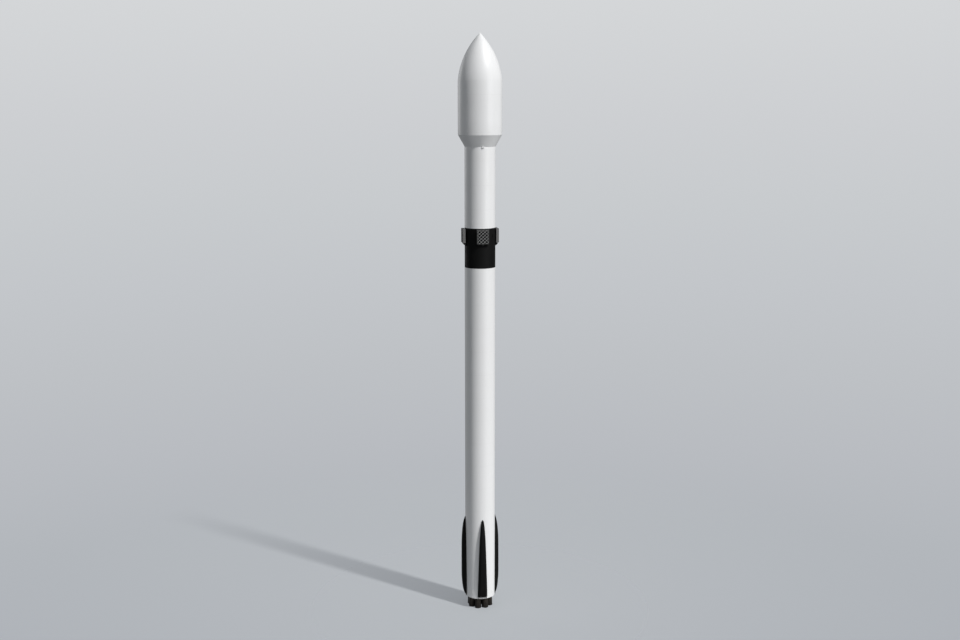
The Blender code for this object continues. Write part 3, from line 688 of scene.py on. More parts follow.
# %% Skirt
SKIRT_WALL = 0.040
RING_WIDTH = 0.060
RING_HEIGHT = 0.030
PLATE_Z = 0.620
skirt = spun("thrust_skirt", [
    (0.0, thrust_top_z), (body_radius - GROOVE, thrust_top_z),
    (body_radius, thrust_top_z - GROOVE), (body_radius, 0.052), (body_radius - 0.003, 0.048),
    (body_radius - 0.003, 0.040), (body_radius, 0.036), (body_radius, 0.004),
    (body_radius - 0.004, 0.0), (body_radius - RING_WIDTH + 0.003, 0.0),
    (body_radius - RING_WIDTH, 0.003), (body_radius - RING_WIDTH, RING_HEIGHT - 0.004),
    (body_radius - SKIRT_WALL, RING_HEIGHT), (body_radius - SKIRT_WALL, PLATE_Z - 0.02),
    (body_radius - SKIRT_WALL - 0.02, PLATE_Z), (0.0, PLATE_Z)])
doors = [plate(f"service_door_{turn}", turn, 8, 0.28, 0.60, body_radius) for turn in QUARTERS]
pads = [plate(f"clamp_pad_{turn}", turn, 6, 0.004, 0.085, body_radius, 0.010) for turn in QUARTERS]
skirt = joined("thrust_skirt", skirt, *doors, *pads)
skirt = fitted(skirt, head, ring(96, thrust_top_z - 0.04) + ring(96, 0.11))
coupling = joined("coupling", cap("coupling_flange", 0.034, 0.004, 24),
                  spun("coupling_spout", [(0.012, 0.0), (0.022, 0.0), (0.022, 0.010),
                                          (0.020, 0.012), (0.012, 0.012)], 24))
skirt = fitted(skirt, coupling, [inward(2, z, turn + shift) for turn in QUARTERS
                                 for z, shift in ((0.36, -4), (0.36, 4), (0.52, 0))])
skirt = fitted(skirt, small_head, [inward(2, z, turn + shift) for turn in QUARTERS
                                   for z in (0.295, 0.44, 0.585) for shift in (-7, 7)])
dressed(skirt, tank_white, "white_paint", "first_stage", "thrust_section")

# %% Engine places and the ears that carry the gimbals
PITCH_RADIUS = 0.580
GIMBAL_Z = 0.500
PIN_RADIUS = 0.012
EAR_INNER, EAR_OUTER, EAR_HALF = 0.045, 0.060, 0.025
ENGINE_PLACES = [(PITCH_RADIUS * math.cos(math.radians(22.5 + 45 * k)),
                  PITCH_RADIUS * math.sin(math.radians(22.5 + 45 * k))) for k in range(8)] + [(0, 0)]


def ear_pair(name, low, high):
    """Two plates with a round boss on each, where a gimbal pin passes through."""
    sides = []
    for side in (-1, 1):
        inner, outer = sorted((side * EAR_INNER, side * EAR_OUTER))
        sides.append(block(f"{name}_plate", (inner, -EAR_HALF, low), (outer, EAR_HALF, high), 0.004))
        boss = spun(f"{name}_boss", [(PIN_RADIUS + 0.0014, -0.0095), (0.022, -0.0095),
                                     (0.022, 0.0095), (PIN_RADIUS + 0.0014, 0.0095)], 24, axis="X")
        sides.append(placed(boss, ((inner + outer) / 2, 0, GIMBAL_Z)))
    return joined(name, *sides)


mount = remember(ear_pair("engine_mount", GIMBAL_Z - EAR_HALF, PLATE_Z + 0.005))
for number, (x, y) in enumerate(ENGINE_PLACES, 1):
    dressed(copied(mount, f"engine_mount_{number}", (x, y, 0)), steel, "bare_steel", "first_stage")
bpy.data.objects.remove(mount)

# %% [markdown]
# ## The heat shield
#
# One plate across the base with nine holes. Round each hole a low collar keeps hot gas out, and
# the holes leave room for the bells to swing.

# %% Heat shield
SHIELD_LOW, SHIELD_HIGH = 0.100, 0.120
HOLE_RADIUS = 0.205
shield = spun("base_shield", [(0.0, SHIELD_LOW), (body_radius - SKIRT_WALL - 0.002, SHIELD_LOW),
                              (body_radius - SKIRT_WALL - 0.002, SHIELD_HIGH), (0.0, SHIELD_HIGH)])
start()
bpy.ops.mesh.primitive_cylinder_add(vertices=48, radius=HOLE_RADIUS, depth=0.2,
                                    location=(0, 0, SHIELD_LOW))
drill = close_up(bpy.context.object, "drill")
drills = joined("drills", *[copied(drill, f"drill_{k}", (x, y, 0))
                            for k, (x, y) in enumerate(ENGINE_PLACES)])
modified(shield, "BOOLEAN", operation="DIFFERENCE", solver="EXACT", object=drills)
bpy.data.objects.remove(drills)
bpy.data.objects.remove(drill)
collar = spun("collar", [(HOLE_RADIUS, SHIELD_LOW + 0.004), (HOLE_RADIUS, SHIELD_LOW - 0.006),
                         (HOLE_RADIUS + 0.006, SHIELD_LOW - 0.008),
                         (HOLE_RADIUS + 0.014, SHIELD_LOW - 0.002),
                         (HOLE_RADIUS + 0.014, SHIELD_LOW + 0.004)], 48)
collars = [copied(collar, f"collar_{k}", (x, y, 0)) for k, (x, y) in enumerate(ENGINE_PLACES)]
bpy.data.objects.remove(collar)
shield = joined("base_shield", shield, *collars)
rim = [(math.cos(math.radians(5 * i)), math.sin(math.radians(5 * i))) for i in range(72)]
shield = fitted(shield, head, [(Vector((0.845 * x, 0.845 * y, -1.0)), Vector((0, 0, 1)))
                               for x, y in rim])
dressed(shield, dark_shield, "dark_shield", "first_stage", "heat_shield")

# %% [markdown]
# ## Shapes taken from the CAD
#
# Legs, fin brackets and hinge blocks already have the right form as solids. A copy of such a
# mesh is merged, its flat triangles become faces again, and its edges are rounded. So the form
# stays and the hard edges go.

# %% Softened copies
def softened(node, name, width, segments=3, flat=1.0, sharp=25.0):
    """A copy of a CAD node's mesh with its edges rounded."""
    start()
    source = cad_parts[node]
    piece = bpy.data.objects.new(name, source.data.copy())
    bpy.context.scene.collection.objects.link(piece)
    piece.select_set(True)
    bpy.context.view_layer.objects.active = piece
    bpy.ops.object.mode_set(mode="EDIT")
    bpy.ops.mesh.select_all(action="SELECT")
    bpy.ops.mesh.remove_doubles(threshold=0.0001)
    bpy.ops.mesh.dissolve_limited(angle_limit=math.radians(flat))
    bpy.ops.object.mode_set(mode="OBJECT")
    modified(piece, "BEVEL", width=width, segments=segments, limit_method="ANGLE",
             angle_limit=math.radians(sharp), harden_normals=False)
    bpy.ops.object.shade_smooth_by_angle(angle=SMOOTH_ANGLE)
    return piece


# %% [markdown]
# ## The landing legs
#
# Each leg is a long shell that lies against the tank, broad at its hinge and narrow at its tip.
# The solid has ten sections. Here a grid is laid over them like a cloth: its columns follow the
# section with rounded shoulders, and its rows run down the leg on a smooth curve through the
# same ten sections.

# %% Leg sections
LEG_TOP_Z = 5.035
LEG_ROOT_RADIUS = 0.890
LEG_SECTIONS = ((0.00, 0.070, 0.055), (0.26, 0.105, 0.126), (0.56, 0.135, 0.170),
                (0.85, 0.155, 0.198), (1.60, 0.195, 0.233), (3.60, 0.262, 0.233),
                (4.10, 0.280, 0.205), (4.50, 0.293, 0.165), (4.80, 0.300, 0.100),
                (4.92, 0.300, 0.040))
LEG_STEPS = 5
SHOULDER = 0.22


def curve_through(stations, steps):
    """Points on a smooth curve through all stations, steps of them in each stretch."""
    stations = [Vector(station) for station in stations]
    padded = [2 * stations[0] - stations[1]] + stations + [2 * stations[-1] - stations[-2]]
    points = []
    for before, p, q, after in zip(padded, padded[1:], padded[2:], padded[3:]):
        for i in range(steps):
            t = i / steps
            points.append(0.5 * (2 * p + (q - before) * t
                                 + (2 * before - 5 * p + 4 * q - after) * t ** 2
                                 + (3 * p - before - 3 * q + after) * t ** 3))
    return points + [stations[-1]]


def leg_outline(width, height):
    """One section's (x, radius) points, with its four corners over the tank rounded."""
    side = math.sqrt(body_radius ** 2 - width ** 2) + 0.45 * height
    crown = body_radius + height
    corners = [Vector(corner) for corner in
               ((-width, LEG_ROOT_RADIUS), (-width, side), (-0.62 * width, crown),
                (0.62 * width, crown), (width, side), (width, LEG_ROOT_RADIUS))]
    outline = [corners[0]]
    for before, corner, after in zip(corners, corners[1:], corners[2:]):
        cut = SHOULDER * min((before - corner).length, (after - corner).length)
        first = corner + (before - corner).normalized() * cut
        last = corner + (after - corner).normalized() * cut
        outline += [(1 - t) ** 2 * first + 2 * t * (1 - t) * corner + t ** 2 * last
                    for t in (0, 0.25, 0.5, 0.75, 1)]
    return outline + [corners[-1]]


# %% Leg shell
leg_rows = curve_through(LEG_SECTIONS, LEG_STEPS)
columns = len(leg_outline(0.1, 0.1))
start()
bpy.ops.mesh.primitive_grid_add(x_subdivisions=columns - 1, y_subdivisions=len(leg_rows) - 1)
leg = bpy.context.object
for row, (below, width, height) in enumerate(leg_rows):
    for column, (x, radius) in enumerate(leg_outline(width, height)):
        leg.data.vertices[row * columns + column].co = (x, radius, LEG_TOP_Z - below)
bpy.ops.object.mode_set(mode="EDIT")
bpy.ops.mesh.select_all(action="DESELECT")
bpy.ops.mesh.select_mode(type="EDGE")
bpy.ops.mesh.select_non_manifold()
bpy.ops.mesh.extrude_region_move()
bpy.ops.transform.resize(value=(1, 0, 1), center_override=(0, LEG_ROOT_RADIUS, 0))
bpy.ops.mesh.edge_face_add()
bpy.ops.object.mode_set(mode="OBJECT")
leg = close_up(leg, "leg")
print("leg rows", len(leg_rows), "columns", columns)

# %% Leg fittings
leg = modified(leg, "BEVEL", width=0.006, segments=2, limit_method="ANGLE",
               angle_limit=math.radians(50))
edge_rays = [(Vector((side * 0.47 * (0.8 + 0.2 * below) * width, 2, LEG_TOP_Z - below)),
              Vector((0, -1, 0)))
             for below, width, height in leg_rows[4:-5] for side in (-1, 1)]
leg = fitted(leg, small_head, edge_rays)
latch = block("latch", (-0.030, body_radius - 0.01, LEG_TOP_Z - 0.015),
              (0.030, body_radius + 0.036, LEG_TOP_Z + 0.075), 0.006)
hinge_door = block("hinge_door", (-0.13, body_radius + 0.05, LEG_TOP_Z - 4.86),
                   (0.13, body_radius + 0.075, LEG_TOP_Z - 4.80), 0.004)
leg = remember(joined("leg", leg, latch, hinge_door))
for number in range(1, 5):
    dressed(copied(leg, f"landing_leg_{number}", turn=90 * (number - 1)), black_shell,
            "black_shell", "first_stage", f"leg_{number}")
bpy.data.objects.remove(leg)

# %% Leg hinges
hinge = remember(softened("leg_hinge_1", "hinge", 0.003, 2))
for number in range(1, 5):
    dressed(copied(hinge, f"leg_hinge_shaft_{number}", turn=90 * (number - 1)), steel,
            "bare_steel", "first_stage", f"leg_hinge_{number}")
bpy.data.objects.remove(hinge)

# %% Fin brackets
bracket = remember(softened("fin_bracket_1", "bracket", 0.004, 2))
for number in range(1, 5):
    dressed(copied(bracket, f"fin_bracket_cast_{number}", turn=90 * (number - 1)), black_shell,
            "black_shell", "first_stage", f"fin_bracket_{number}")
bpy.data.objects.remove(bracket)

# %% [markdown]
# ## The interstage
#
# A black composite tube that joins the two stages. A flange at each end takes the fasteners,
# and hoops stiffen it inside, where they show once the stages part.

# %% Interstage
WALL = 0.020
hoops = []
for z in (22.55, 22.05, 21.55, 21.05):
    hoops += [(body_radius - WALL, z + 0.022), (body_radius - WALL - 0.022, z + 0.018),
              (body_radius - WALL - 0.022, z - 0.018), (body_radius - WALL, z - 0.022)]
interstage = spun("interstage_tube", [
    (body_radius - GROOVE, interstage_top_z), (body_radius, interstage_top_z - GROOVE),
    (body_radius, interstage_z + GROOVE), (body_radius - GROOVE, interstage_z),
    (body_radius - WALL, interstage_z)] + hoops[::-1] + [(body_radius - WALL, interstage_top_z)])
covers = [plate(f"pusher_cover_{turn}", turn, 7, 21.30, 21.62, body_radius)
          for turn in QUARTERS]
covers += [plate(f"joint_strip_{turn}", turn, 1.2, interstage_z + 0.09, interstage_top_z - 0.09,
                 body_radius, 0.002) for turn in (22.5, 202.5)]
interstage = joined("interstage_tube", interstage, *covers)
interstage = fitted(interstage, head, ring(72, interstage_top_z - 0.035)
                    + ring(72, interstage_z + 0.035) + ring(72, interstage_z + 0.070, 2.5))
interstage = fitted(interstage, small_head, [
    inward(2, z, turn + shift) for turn in QUARTERS for shift in (-6, -2, 2, 6)
    for z in (21.315, 21.605)])
interstage = fitted(interstage, small_head, [
    inward(2, interstage_z + 0.14 + 0.10 * i, turn + shift)
    for turn in (22.5, 202.5) for shift in (-0.75, 0.75) for i in range(21)])
vent = joined("vent", cap("vent_rim", 0.045, 0.004, 32), cap("vent_boss", 0.012, 0.007, 16))
interstage = fitted(interstage, vent, ring(4, 21.00, 45) + ring(4, 22.30, 22.5))
dressed(interstage, black_shell, "black_shell", "first_stage", "interstage")

# %% Thruster pods
pod = block("pod", (-0.075, body_radius - 0.02, 22.50), (0.075, body_radius + 0.028, 22.72), 0.012)
nozzles = [spun(f"pod_nozzle_{i}", [(0.006, 0.0), (0.010, 0.0), (0.015, 0.012), (0.012, 0.012)],
                16) for i in range(4)]
for nozzle_cone, (x, z) in zip(nozzles, ((-0.035, 22.56), (0.035, 22.56), (-0.035, 22.66),
                                         (0.035, 22.66))):
    placed(nozzle_cone, turn=-90, about=(1, 0, 0))
    placed(nozzle_cone, (x, body_radius + 0.026, z))
pod = joined("pod", pod, *nozzles)
for number, turn in ((1, 45), (2, 225)):
    twin = remember(copied(pod, f"thruster_pod_{number}"))
    dressed(placed(twin, turn=turn), black_shell, "black_shell", "first_stage")
bpy.data.objects.remove(pod)

# %% [markdown]
# ## The grid fins
#
# A lattice of thin bars in a frame. A grid turned by 45 degrees gives the diamonds, four cuts
# give the frame's opening, an inset of each face leaves the bars, and an extruded edge gives
# the frame. Then the flat drawing gets its depth.

# %% Fin lattice
FIN_HALF = 0.350
FIN_LOW, FIN_HIGH = 22.145, 22.975
FIN_RIM = 0.026
FIN_BAR = 0.020
FIN_DEPTH = 0.155
FIN_INNER = 0.925
COLUMNS, ROWS = 3, 4
fin_half_height = (FIN_HIGH - FIN_LOW) / 2
open_x, open_y = FIN_HALF - FIN_RIM + FIN_BAR / 2, fin_half_height - FIN_RIM + FIN_BAR / 2
pitch_x, pitch_y = 2 * (FIN_HALF - FIN_RIM) / COLUMNS, 2 * (fin_half_height - FIN_RIM) / ROWS


def choose(piece, kind, test):
    """Selects the faces, edges or points whose middle passes a test, and enters edit mode."""
    bpy.ops.object.mode_set(mode="EDIT")
    bpy.ops.mesh.select_mode(type=kind)
    bpy.ops.mesh.select_all(action="DESELECT")
    bpy.ops.object.mode_set(mode="OBJECT")
    points = piece.data.vertices
    groups = {"FACE": piece.data.polygons, "EDGE": piece.data.edges}.get(kind)
    for item in groups or points:
        if groups:
            corners = [points[i].co for i in item.vertices]
            item.select = test(sum(corners, Vector()) / len(corners))
        else:
            item.select = test(item.co)
    bpy.ops.object.mode_set(mode="EDIT")


def fin_lattice():
    start()
    cells = 16
    bpy.ops.mesh.primitive_grid_add(x_subdivisions=cells, y_subdivisions=cells,
                                    size=cells / math.sqrt(2))
    piece = bpy.context.object
    bpy.ops.object.mode_set(mode="EDIT")
    bpy.ops.transform.rotate(value=math.radians(45), orient_axis="Z", center_override=(0, 0, 0))
    bpy.ops.transform.resize(value=(pitch_x, pitch_y, 1), center_override=(0, 0, 0))
    for normal, reach in (((1, 0, 0), open_x), ((-1, 0, 0), open_x),
                          ((0, 1, 0), open_y), ((0, -1, 0), open_y)):
        bpy.ops.mesh.select_all(action="SELECT")
        bpy.ops.mesh.bisect(plane_co=Vector(normal) * reach, plane_no=normal, clear_outer=True)
    bpy.ops.object.mode_set(mode="OBJECT")
    choose(piece, "EDGE", lambda p: abs(p.x) > open_x - 0.0001 or abs(p.y) > open_y - 0.0001)
    bpy.ops.mesh.extrude_region_move()
    bpy.ops.transform.resize(value=(FIN_HALF / open_x, fin_half_height / open_y, 1),
                             center_override=(0, 0, 0))
    bpy.ops.object.mode_set(mode="OBJECT")
    choose(piece, "FACE", lambda p: abs(p.x) < open_x and abs(p.y) < open_y)
    bpy.ops.mesh.inset(thickness=FIN_BAR / 2, use_individual=True, use_boundary=True)
    bpy.ops.mesh.delete(type="FACE")
    bpy.ops.object.mode_set(mode="OBJECT")
    print("fin drawn:", len(piece.data.polygons), "faces")
    modified(piece, "SOLIDIFY", thickness=FIN_DEPTH, offset=0, use_even_offset=False)
    modified(piece, "BEVEL", width=0.0025, segments=1, limit_method="ANGLE")
    return close_up(piece, "fin_lattice")


# %% Fin root and the four fins
FIN_HINGE = (0.985, 22.075)
FIN_LUG = 0.050
FIN_BARREL = 0.040
FIN_BORE = 0.0170


def fin_root():
    """The arm from the hinge into the frame, with its barrel round the pin."""
    arm = block("fin_arm", (-FIN_LUG + 0.003, FIN_HINGE[0] - 0.034, FIN_HINGE[1] + 0.022),
                (FIN_LUG - 0.003, FIN_HINGE[0] + 0.040, FIN_LOW + 0.012), 0.004, (1.0, 1.5))
    tube = spun("fin_tube", [(FIN_BORE, -FIN_LUG), (FIN_BARREL - 0.003, -FIN_LUG),
                             (FIN_BARREL, -FIN_LUG + 0.003), (FIN_BARREL, FIN_LUG - 0.003),
                             (FIN_BARREL - 0.003, FIN_LUG), (FIN_BORE, FIN_LUG)], 32, axis="X")
    placed(tube, (0, *FIN_HINGE))
    return [arm, tube]


lattice = placed(fin_lattice(), (0, FIN_INNER + FIN_DEPTH / 2, (FIN_LOW + FIN_HIGH) / 2),
                 90, (1, 0, 0))
fin = remember(joined("fin", lattice, *fin_root()))
for number in range(1, 5):
    dressed(copied(fin, f"lattice_fin_{number}", turn=90 * (number - 1)), fin_metal,
            "fin_metal", f"fin_{number}", f"grid_fin_{number}")
bpy.data.objects.remove(fin)

# %% [markdown]
# ## The engines
#
# Nine bells on chambers. The profile runs from the top plate down the outside, round the lip and
# up inside to the throat. Hat bands stiffen the bell, and a dish above it meets the shield.

# %% Engines
def bell_radius(z):
    """The bell's outer radius at a height."""
    stations = ((0.147, 0.132), (0.0, 0.158), (-0.240, 0.184), (ground_z, 0.205))
    for (z0, r0), (z1, r1) in zip(stations, stations[1:]):
        if z >= z1:
            return r0 + (r1 - r0) * (z0 - z) / (z0 - z1)
    return stations[-1][1]


def hat_band(z):
    r0, r1 = bell_radius(z + 0.012), bell_radius(z - 0.012)
    return [(r0, z + 0.012), (r0 + 0.004, z + 0.008), (r1 + 0.004, z - 0.008), (r1, z - 0.012)]


outside = [(0.0, 0.430), (0.070, 0.430), (0.075, 0.425), (0.075, 0.315), (0.070, 0.306),
           (0.056, 0.275), (0.050, 0.250), (0.056, 0.228), (0.086, 0.192), (0.125, 0.157),
           (0.198, 0.1805), (0.2005, 0.177), (0.199, 0.173), (0.132, 0.147)]
outside += hat_band(0.02) + hat_band(-0.14) + hat_band(-0.30) + hat_band(-0.46)
lip = [(0.2025, -0.655), (0.2055, -0.662), (0.2055, ground_z + 0.003), (0.203, ground_z),
       (0.199, ground_z), (0.197, ground_z + 0.006)]
inside = [(0.1955, -0.640), (0.188, -0.460), (0.177, -0.240), (0.166, -0.120), (0.151, 0.000),
          (0.135, 0.075), (0.112, 0.140), (0.080, 0.185), (0.045, 0.225), (0.030, 0.250),
          (0.030, 0.262), (0.0, 0.270)]
engine = spun("engine", outside + lip + inside, 64)
engine_ears = placed(copied(ear_pair("ears", 0.42, GIMBAL_Z + EAR_HALF), "engine_ears"), turn=90)
bpy.data.objects.remove(bpy.data.objects["ears"])
engine = remember(joined("engine", engine, engine_ears))
for number, (x, y) in enumerate(ENGINE_PLACES, 1):
    dressed(copied(engine, f"engine_bell_{number}", (x, y, 0)), bell_metal, "engine_metal",
            f"bell_{number}", f"engine_{number}")
bpy.data.objects.remove(engine)

# %% Gimbal crosses
core = block("core", (-0.018, -0.018, -0.018), (0.018, 0.018, 0.018), 0.003)
pins = [spun(f"pin_{axis}", [(0, -EAR_OUTER), (PIN_RADIUS - 0.002, -EAR_OUTER),
                             (PIN_RADIUS, -EAR_OUTER + 0.002), (PIN_RADIUS, EAR_OUTER - 0.002),
                             (PIN_RADIUS - 0.002, EAR_OUTER), (0, EAR_OUTER)], 24, axis=axis)
        for axis in ("X", "Y")]
cross = remember(joined("cross", core, *pins))
for number, (x, y) in enumerate(ENGINE_PLACES, 1):
    dressed(copied(cross, f"gimbal_cross_{number}", (x, y, GIMBAL_Z)), steel, "bare_steel",
            f"cross_{number}", f"gimbal_{number}")
bpy.data.objects.remove(cross)

# %% [markdown]
# ## The second stage's engine
#
# It hangs in the interstage until the stages part. The wide bell is a thin metal sheet with
# stiffening rings, on a chamber and a block that stands for the pumps.

# %% Vacuum bell
THROAT_Z = 22.450
EXIT_Z = 21.200
EXIT_RADIUS = 0.600
THROAT_RADIUS = 0.130
NOZZLE_WALL = 0.010


def nozzle_point(share, inset=0.0):
    """A point on the parabola from the throat, at share 0, to the exit, at share 1."""
    radius = THROAT_RADIUS + (EXIT_RADIUS - THROAT_RADIUS) * math.sqrt(share) - inset
    return radius, THROAT_Z + (EXIT_Z - THROAT_Z) * share


steps = [(i / 16) ** 2 for i in range(17)]
outer = []
for share in steps:
    outer.append(nozzle_point(share))
    if share in (steps[8], steps[11], steps[14]):
        r, z = nozzle_point(share)
        outer += [(r + 0.012, z), (r + 0.012, z - 0.014), (r + 0.004, z - 0.016)]
inner = [nozzle_point(share, NOZZLE_WALL) for share in reversed(steps[1:])]
nozzle = spun("vacuum_bell", [(0.0, THROAT_Z)] + outer + inner + [(0.10, THROAT_Z - 0.02),
                                                              (0.0, THROAT_Z - 0.01)])
dressed(nozzle, bell_metal, "engine_metal", "second_stage", "stage2_nozzle")
block_top = stage2_z
pump_block = spun("vacuum_engine", [
    (0.0, block_top), (0.235, block_top), (0.250, block_top - 0.02), (0.250, block_top - 0.12),
    (0.242, block_top - 0.13), (0.242, block_top - 0.16), (0.250, block_top - 0.17),
    (0.250, THROAT_Z + 0.17), (0.235, THROAT_Z + 0.145), (0.160, THROAT_Z + 0.03),
    (0.140, THROAT_Z), (0.0, THROAT_Z)], 64)
dressed(pump_block, steel, "engine_metal", "second_stage", "stage2_engine")


def pipe(name, points, radius):
    """A round pipe along a curve through points."""
    start()
    bpy.ops.curve.primitive_bezier_curve_add()
    line = bpy.context.object
    line.data.splines.clear()
    spline = line.data.splines.new("POLY")
    route = curve_through(points, 8)
    spline.points.add(len(route) - 1)
    for spot, point in zip(spline.points, route):
        spot.co = (*point, 1)
    line.data.bevel_depth = radius
    line.data.bevel_resolution = 3
    line.data.use_fill_caps = True
    bpy.ops.object.convert(target="MESH")
    return close_up(bpy.context.object, name)


# %% Pipes and gas bottles beside the engine
feed = pipe("feed", [(0.46, 0, block_top + 0.01), (0.46, 0, block_top - 0.06),
                     (0.40, 0, block_top - 0.13), (0.30, 0, block_top - 0.15),
                     (0.22, 0, block_top - 0.15)], 0.032)
collar = placed(spun("collar", [(0.030, 0.0), (0.050, 0.0), (0.050, 0.014), (0.030, 0.014)], 24),
                (0.46, 0, block_top - 0.03))
exhaust = placed(pipe("exhaust", [(0.22, 0, 22.80), (0.30, 0, 22.78), (0.335, 0, 22.70),
                                  (0.345, 0, 22.55), (0.36, 0, 22.38)], 0.024), turn=90)
feeds = [joined("feed_0", feed, collar)]
feeds.append(copied(feeds[0], "feed_1", turn=180))
plumbing = joined("stage2_plumbing", *feeds, exhaust)
dressed(remember(plumbing), steel, "engine_metal", "second_stage")
turns = [math.radians(15 * i) for i in range(13)]
bottle = spun("bottle", [(0.125 * math.sin(a), -0.155 * math.cos(a)) for a in turns], 32)
strap = spun("strap", [(0.124, -0.012), (0.131, -0.012), (0.131, 0.012), (0.124, 0.012)], 32)
stalk = spun("stalk", [(0.0, 0.14), (0.020, 0.14), (0.020, 0.19), (0.0, 0.19)], 16)
bottle = placed(joined("bottle", bottle, strap, stalk), (0.64, 0, block_top - 0.185))
bottles = joined("stage2_bottles", *[copied(bottle, f"bottle_{k}", turn=45 + 90 * k)
                                     for k in range(4)])
bpy.data.objects.remove(bottle)
dressed(remember(bottles), aluminium, "bare_aluminium", "second_stage")
stiffener = spun("stiffener", [(0.700, block_top), (0.700, block_top - 0.012),
                               (0.706, block_top - 0.018), (0.724, block_top - 0.018),
                               (0.730, block_top - 0.012), (0.730, block_top)])
base_ring = spun("base_ring", [(0.840, block_top), (0.840, block_top - 0.010),
                               (0.880, block_top - 0.010), (0.880, block_top)])
stiffeners = joined("stage2_base_rings", stiffener, base_ring)
stiffeners = fitted(stiffeners, small_head, [
    (Vector((0.860 * math.cos(a), 0.860 * math.sin(a), block_top - 1)), Vector((0, 0, 1)))
    for a in (math.radians(7.5 * i) for i in range(48))])
dressed(stiffeners, aluminium, "bare_aluminium", "second_stage")

# %% [markdown]
# ## The payload adapter
#
# A cone from the second stage's top to the ring that holds the payload.

# %% Adapter
foot_z, ring_z = (corner.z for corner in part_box("payload_adapter"))
adapter = spun("adapter_cone", [
    (0.398, ring_z), (0.400, ring_z - 0.002), (0.400, ring_z - 0.05), (0.795, foot_z + 0.035),
    (0.800, foot_z + 0.028), (0.800, foot_z), (0.770, foot_z), (0.770, foot_z + 0.012),
    (0.370, ring_z - 0.055), (0.370, ring_z)], 96)
start()
bpy.ops.mesh.primitive_cylinder_add(vertices=32, radius=0.055, depth=0.5,
                                    location=(0.60, 0, (foot_z + ring_z) / 2),
                                    rotation=(0, math.radians(90), 0))
drill = close_up(bpy.context.object, "drill")
drills = joined("drills", *[copied(drill, f"drill_{k}", turn=30 * k + 15) for k in range(12)])
modified(adapter, "BOOLEAN", operation="DIFFERENCE", solver="EXACT", object=drills)
bpy.data.objects.remove(drills)
bpy.data.objects.remove(drill)
bpy.ops.object.shade_smooth_by_angle(angle=SMOOTH_ANGLE)
band = spun("clamp_band", [(0.398, ring_z - 0.030), (0.408, ring_z - 0.027),
                           (0.408, ring_z - 0.011), (0.398, ring_z - 0.008)])
shoes = [block(f"shoe_{k}", (0.398, -0.018, ring_z - 0.032), (0.413, 0.018, ring_z - 0.006), 0.002)
         for k in range(12)]
for k, shoe in enumerate(shoes):
    placed(shoe, turn=30 * k)
adapter = joined("adapter_cone", adapter, band, *shoes)
adapter = fitted(adapter, head, ring(48, foot_z + 0.016, 3.75)
                 + ring(36, foot_z + 0.060) + ring(24, ring_z - 0.075))
dressed(adapter, aluminium, "bare_aluminium", "second_stage", "payload_adapter")

# %% [markdown]
# ## The payload fairing
#
# Two half shells. The nose is an arc that meets the straight wall without a kink and ends in a
# point, and the foot narrows to the tank. The section is drawn as a closed chain, filled and
# spun by 180 degrees, so each half has flat, closed seams.

# %% Fairing halves
FAIRING_WALL = 0.020
SHOULDER_Z = 31.565
BEND_Z = 28.485
OGIVE_RADIUS = 4.410


shoulder, tip = Vector((fairing_radius, SHOULDER_Z)), Vector((0, tip_z))
chord = tip - shoulder
reach = math.sqrt(OGIVE_RADIUS ** 2 - (chord.length / 2) ** 2)
middle = (shoulder + tip) / 2 + reach * Vector((-chord.y, chord.x)).normalized()


def fairing_section():
    def arc(radius, wall):
        top = math.acos(-middle.x / radius)
        low = math.acos((fairing_radius - wall - middle.x) / radius)
        angles = [top + (low - top) * i / 24 for i in range(25)]
        points = [(middle.x + radius * math.cos(a), middle.y + radius * math.sin(a)) for a in angles]
        return [(0.0, points[0][1])] + points[1:]

    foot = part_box("fairing_back")[0].z
    shell = arc(OGIVE_RADIUS, 0.0)
    shell += [(fairing_radius, z) for z in (30.4, 29.4, BEND_Z + 0.02)]
    shell += [(fairing_radius - 0.003, BEND_Z - 0.006), (body_radius + 0.004, stage2_top_z + 0.008),
              (body_radius, stage2_top_z + 0.0005)]
    lining = arc(OGIVE_RADIUS - FAIRING_WALL, FAIRING_WALL)
    lining += [(fairing_radius - FAIRING_WALL, BEND_Z + 0.005),
               (body_radius - FAIRING_WALL, stage2_top_z + 0.0005)]
    return shell + lining[::-1]


half = spun("half", fairing_section(), 64, math.pi)
FAIRING_HINGE = (0.945, 27.775)
tube = placed(spun("tube", [(0.0087, -0.029), (0.018, -0.029), (0.020, -0.027), (0.020, 0.027),
                            (0.018, 0.029), (0.0087, 0.029)], 24, axis="X"), (0, *FAIRING_HINGE))
arm = block("arm", (-0.026, FAIRING_HINGE[0] - 0.014, FAIRING_HINGE[1] + 0.010),
            (0.026, FAIRING_HINGE[0] + 0.016, stage2_top_z + 0.065), 0.003)
half = joined("half", half, tube, arm)
seam_heights = [BEND_Z + 0.12 + 0.20 * i for i in range(26)]
half = fitted(half, small_head, ring(36, stage2_top_z + 0.035, 2.5, 180)
              + ring(36, BEND_Z + 0.05, 2.5, 180)
              + [inward(2, z, turn) for z in seam_heights for turn in (1.6, 178.4)])
half = fitted(half, vent, ring(6, BEND_Z + 0.22, 15, 180))
half = remember(half)
for side, turn in (("back", 0), ("front", 180)):
    dressed(copied(half, f"fairing_shell_{side}", turn=turn), fairing_white, "white_paint",
            f"fairing_{side}_half", f"fairing_{side}")
bpy.data.objects.remove(half)

# %% [markdown]
# Inside, quilted blankets hang on the shell. Their pads are real: the lining is spun as a thin
# sheet in squares, and each inner square is inset and pulled inwards a little. Along both seams
# the shell stays bare and carries a rail.

# %% Fairing lining
LINING_GAP = 0.002
PAD_DEPTH = 0.014
SEAM_BARE = 5.0


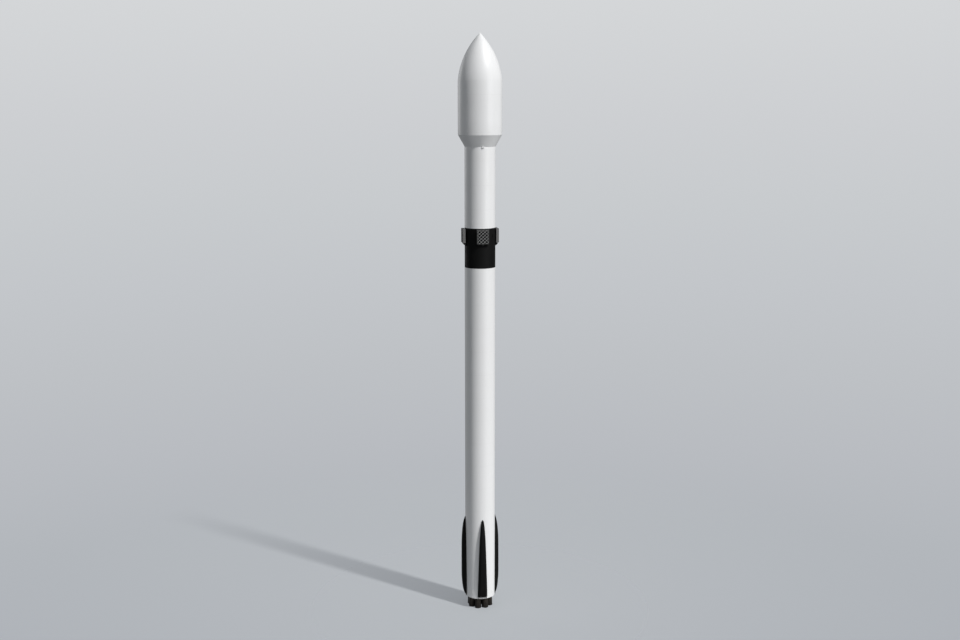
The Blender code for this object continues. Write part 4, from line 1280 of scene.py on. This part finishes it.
def shell_radius(z, inset):
    """The nose shell's radius at a height, less an inset."""
    if z <= SHOULDER_Z:
        return fairing_radius - inset
    return middle.x + math.sqrt((OGIVE_RADIUS - inset) ** 2 - (z - middle.y) ** 2)


lining_heights = [BEND_Z + 0.06 + 0.30 * i for i in range(18)]
inset = FAIRING_WALL + LINING_GAP
sheet = [(shell_radius(z, inset + 0.004), z) for z in lining_heights]
back = [(shell_radius(z, inset), z) for z in reversed(lining_heights)]
lining = spun("lining", sheet + back, 24, math.radians(180 - 2 * SEAM_BARE))
placed(lining, turn=SEAM_BARE)
sag = math.cos(math.radians((180 - 2 * SEAM_BARE) / 48))
choose(lining, "FACE", lambda p: math.hypot(p.x, p.y) / sag < shell_radius(p.z, inset + 0.002)
       and lining_heights[0] + 0.02 < p.z < lining_heights[-1] - 0.02)
bpy.ops.mesh.inset(thickness=0.018, depth=PAD_DEPTH, use_individual=True)
bpy.ops.mesh.inset(thickness=0.022, depth=0.004, use_individual=True)
bpy.ops.object.mode_set(mode="OBJECT")
bpy.ops.object.shade_smooth_by_angle(angle=math.radians(60))
rails = []
for turn in (1.2, 180 - 3.6):
    rail = spun(f"rail_{turn}", [(shell_radius(z, inset - 0.004), z) for z in seam_heights]
                + [(shell_radius(z, inset + 0.012), z) for z in reversed(seam_heights)], 2,
                math.radians(2.4))
    rails.append(placed(rail, turn=turn))
rails = joined("rails", *rails)
rails = fitted(rails, small_head, [(Vector((0, 0, z)), Vector((math.cos(a), math.sin(a), 0)))
                                   for z in seam_heights[:-2]
                                   for a in (math.radians(2.4), math.radians(177.6))])
for pattern in (lining, rails):
    remember(pattern)
for side, turn in (("back", 0), ("front", 180)):
    dressed(copied(lining, f"fairing_lining_{side}", turn=turn), blanket, "white_paint",
            f"fairing_{side}_half")
    dressed(copied(rails, f"fairing_rails_{side}", turn=turn), aluminium, "bare_aluminium",
            f"fairing_{side}_half")
for pattern in (lining, rails):
    bpy.data.objects.remove(pattern)

# %% Fairing hinges
for side in ("back", "front"):
    dressed(softened(f"fairing_hinge_{side}", f"fairing_hinge_block_{side}", 0.003, 2),
            tank_white, "white_paint", "second_stage", f"fairing_hinge_{side}")

# %% Raceways
RACEWAY_TURN = 45.0
RACEWAY_OUTER = 0.040
for number, body in ((1, "first_stage"), (2, "second_stage")):
    low, high = (corner.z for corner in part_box(f"raceway_{number}"))
    cover = softened(f"raceway_{number}", f"cable_cover_{number}", 0.008, 3)
    straps = round((high - low - 0.2) / WELD_PITCH)
    for i in range(straps + 1):
        z = low + 0.1 + (high - low - 0.2) * i / straps
        strap = block(f"strap_{i}", (-0.060, body_radius - 0.01, z - 0.015),
                      (0.060, body_radius + RACEWAY_OUTER + 0.004, z + 0.015), 0.005)
        cover = joined(cover.name, cover, placed(strap, turn=RACEWAY_TURN - 90))
    cover = fitted(cover, small_head, [
        inward(2, low + 0.1 + (high - low - 0.2) * i / straps, RACEWAY_TURN + shift)
        for i in range(straps + 1) for shift in (-1.6, 1.6)])
    dressed(cover, tank_white, "white_paint", body, f"raceway_{number}")

# %% [markdown]
# ## Closing
#
# The patterns of the fittings have done their work and go.

for pattern in (head, small_head, coupling, vent):
    bpy.data.objects.remove(pattern)
